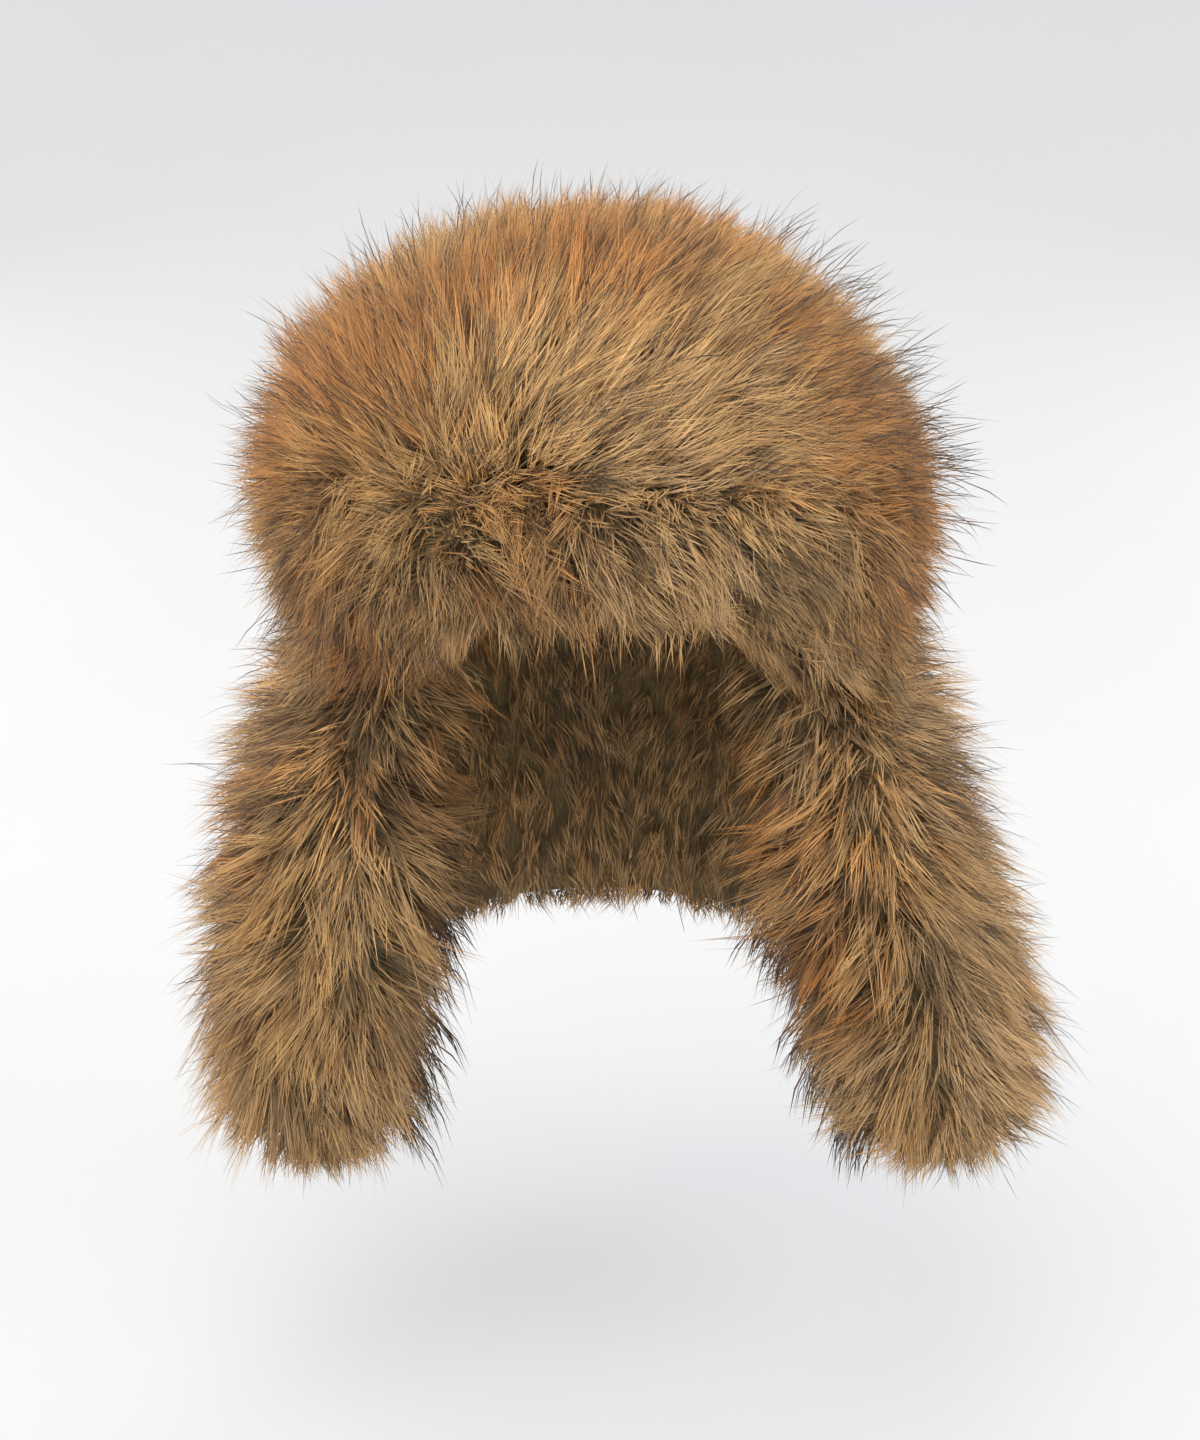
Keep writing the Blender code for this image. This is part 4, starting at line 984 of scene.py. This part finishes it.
# The neck flap hangs behind, one pelt sewn to the rim between the ear flaps. It is deep in fur outside
# and shorter inside, where it lies against the nape.
NECK_FROM = EAR_TO + math.radians(2)
NECK_LENGTH = 0.122
NECK_HEM_PILE = 0.026
NECK_FLARE = 0.016
NECK_PILE_OUT = 0.036
NECK_PILE_IN = 0.012
NECK_LOCK = 0.010
NECK_REACH = 1.1
NECK_HAIRS = 13000
NECK_GUARDS = 400
NECK_GUARDS_ROUND = (0.12 * math.pi, 0.88 * math.pi)
NECK_COLUMNS = 72
NECK_ROWS = 24
NECK_TABLE = np.array([
    # drop, flare, width, pile out, pile in
    (0.00, 0.00, 1.00, 1.00, 0.40),
    (0.30, 0.35, 1.00, 1.04, 0.80),
    (0.60, 0.72, 0.99, 1.02, 1.00),
    (0.82, 0.92, 0.95, 0.88, 1.00),
    (0.94, 1.00, 0.86, 0.58, 0.70),
    (1.00, 1.00, 0.78, 0.02, 0.02),
])


def neck_coat(turn, share, depth):
    """A point in the neck flap's pile, by the angle round its section, which is 0 at the wearer's left
    end, a quarter turn on the outer face and three quarters on the inner one."""
    flare, width, out, inside = read_table(NECK_TABLE, share + 0 * turn)
    deep = np.where(np.sin(turn) > 0, NECK_PILE_OUT * out, NECK_PILE_IN * inside)
    off = np.sign(np.sin(turn)) * np.abs(np.sin(turn)) ** 0.5 * (depth * deep + WALL / 2 + GAP)
    along = np.sign(np.cos(turn)) * np.abs(np.cos(turn)) ** 0.85 * (width + 0.015)
    angle = math.pi + along * (math.pi - NECK_FROM)
    grow = NECK_FLARE * flare + off
    x = (RIM_HALF_WIDTH + grow) * np.sin(angle)
    y = -(RIM_HALF_DEPTH + grow) * np.cos(angle)
    z = -(RIM_DROP_SIDE + GAP + share * (NECK_LENGTH + NECK_HEM_PILE))
    return np.stack([x, y, z + 0 * x], axis=-1)


def neck_lay(top, out, u, v):
    """Straight down, a little outwards."""
    return np.array([0.0, 0.0, -1.0]) + 0.3 * out


grid = flap_wool(neck_coat, NECK_COLUMNS, NECK_ROWS)
grid = np.concatenate([(grid[:1] + grid[:1, ::-1]) / 2, grid, (grid[-1:] + grid[-1:, ::-1]) / 2])
fur_piece(grid_of("neck_flap_underfur", grid), underfur, "neck_flap_fur")
neck_hair = tufts(
    "neck_flap_soft_hair", 51, neck_coat, ALL_ROUND, (0.0, 1.0), NECK_HAIRS, neck_lay, NECK_LOCK,
    reach=NECK_REACH,
)
fur_piece(neck_hair, soft_hair)
neck_guards = guard_hairs(
    "neck_flap_guard_hair", 52, neck_coat, NECK_GUARDS_ROUND, (0.0, 1.0), NECK_GUARDS, neck_lay, NECK_LOCK
)
fur_piece(neck_guards, guard_hair)

# The studio is a round tent of white cloth with light coming through it, flat below the hat and curving
# up into its wall. A wide warm soft light stands above and to the left, a weaker cool one at the right,
# a small one above, and one at each side behind; the camera looks slightly down.
FLOOR_Z = -0.46
FLOOR_RADIUS = 0.9
FLOOR_CURVE = 2.2
WALL_HEIGHT = 3.4
TENT_WARM = "#C1C0BE"
TENT_COOL = "#C2C3C6"
TENT_LIGHT = "#F4F6FA"
TENT_GLOW = 0.27
HAT_MIDDLE = (0.0, 0.0, -0.15)
KEY_WARM = (1.0, 0.93, 0.83)
FILL_COOL = (0.86, 0.93, 1.0)
BACK_WARM = (1.0, 0.98, 0.95)
SKY_TINT = (0.86, 0.89, 0.93, 1.0)
SKY_STRENGTH = 0.5
CAMERA_AT = (0.0, -0.818, 0.026)
CAMERA_DOWN = math.radians(13)
CAMERA_LENS = 50.0
CAMERA_FRAME = 36.0


def tent_grid():
    """The tent turned round the upright axis: its radius and height run along the floor, round a
    quarter circle and up the wall."""
    bend = np.linspace(0, math.pi / 2, 16)
    wall = FLOOR_RADIUS + FLOOR_CURVE
    radius = np.concatenate([[0.0, 0.3, 0.6], FLOOR_RADIUS + FLOOR_CURVE * np.sin(bend), [wall]])
    height = np.concatenate([[0.0, 0.0, 0.0], FLOOR_CURVE * (1 - np.cos(bend)), [WALL_HEIGHT]])
    turn = np.linspace(0, 2 * math.pi, 96, endpoint=False)
    x, y = radius[:, None] * np.sin(turn), radius[:, None] * np.cos(turn)
    return np.stack([x, y, FLOOR_Z + height[:, None] + 0 * x], axis=-1)


tent = grid_of("light_tent", tent_grid())

# White tent cloth: matt, faintly uneven, and lit through so evenly that it lights the hat all round.
tent_cloth, tree, shader = finish_named("white_tent_cloth")
place = node(tree, "ShaderNodeTexCoord").outputs["Object"]
grain = node(tree, "ShaderNodeTexNoise", Vector=place, Scale=3.0, Detail=2.0)
tint = mixed(tree, grain.outputs["Fac"], linear(TENT_WARM), linear(TENT_COOL))
tree.links.new(tint, shader.inputs["Base Color"])
shader.inputs["Roughness"].default_value = 0.9
shader.inputs["Emission Color"].default_value = linear(TENT_LIGHT)
shader.inputs["Emission Strength"].default_value = TENT_GLOW
tent.data.materials.append(tent_cloth)


def soft_light(name, place_at, size, power, colour, towards=HAT_MIDDLE):
    """A square area light aimed at a point."""
    data = bpy.data.lights.new(name, "AREA")
    data.size, data.energy, data.color = size, power, colour
    made = bpy.data.objects.new(name, data)
    bpy.context.scene.collection.objects.link(made)
    aim = np.array(towards) - np.array(place_at)
    level = math.hypot(aim[0], aim[1])
    made.rotation_euler = (math.atan2(level, -aim[2]), 0.0, math.atan2(aim[1], aim[0]) - math.pi / 2)
    made.location = place_at


soft_light("key_light", (-0.6, -1.3, 1.9), size=2.4, power=47.5, colour=KEY_WARM)
soft_light("fill_light", (1.6, -1.2, 0.9), size=1.4, power=14.0, colour=FILL_COOL)
soft_light("top_light", (0.2, 0.6, 1.8), size=1.2, power=5.0, colour=(1.0, 1.0, 1.0), towards=(0, 0, 0))
soft_light("back_light_left", (-1.3, 1.2, 0.7), size=1.4, power=10.0, colour=BACK_WARM)
soft_light("back_light_right", (1.3, 1.2, 0.7), size=1.4, power=8.0, colour=BACK_WARM)
world = bpy.data.worlds.new("studio")
bpy.context.scene.world = world
world.use_nodes = True
world.node_tree.nodes["Background"].inputs["Color"].default_value = SKY_TINT
world.node_tree.nodes["Background"].inputs["Strength"].default_value = SKY_STRENGTH
bpy.context.scene.view_settings.view_transform = "Standard"

camera = bpy.data.objects.new("camera", bpy.data.cameras.new("camera"))
bpy.context.scene.collection.objects.link(camera)
camera.location = CAMERA_AT
camera.rotation_euler = (math.pi / 2 - CAMERA_DOWN, 0.0, 0.0)
camera.data.lens = CAMERA_LENS
camera.data.sensor_width = CAMERA_FRAME
bpy.context.scene.camera = camera
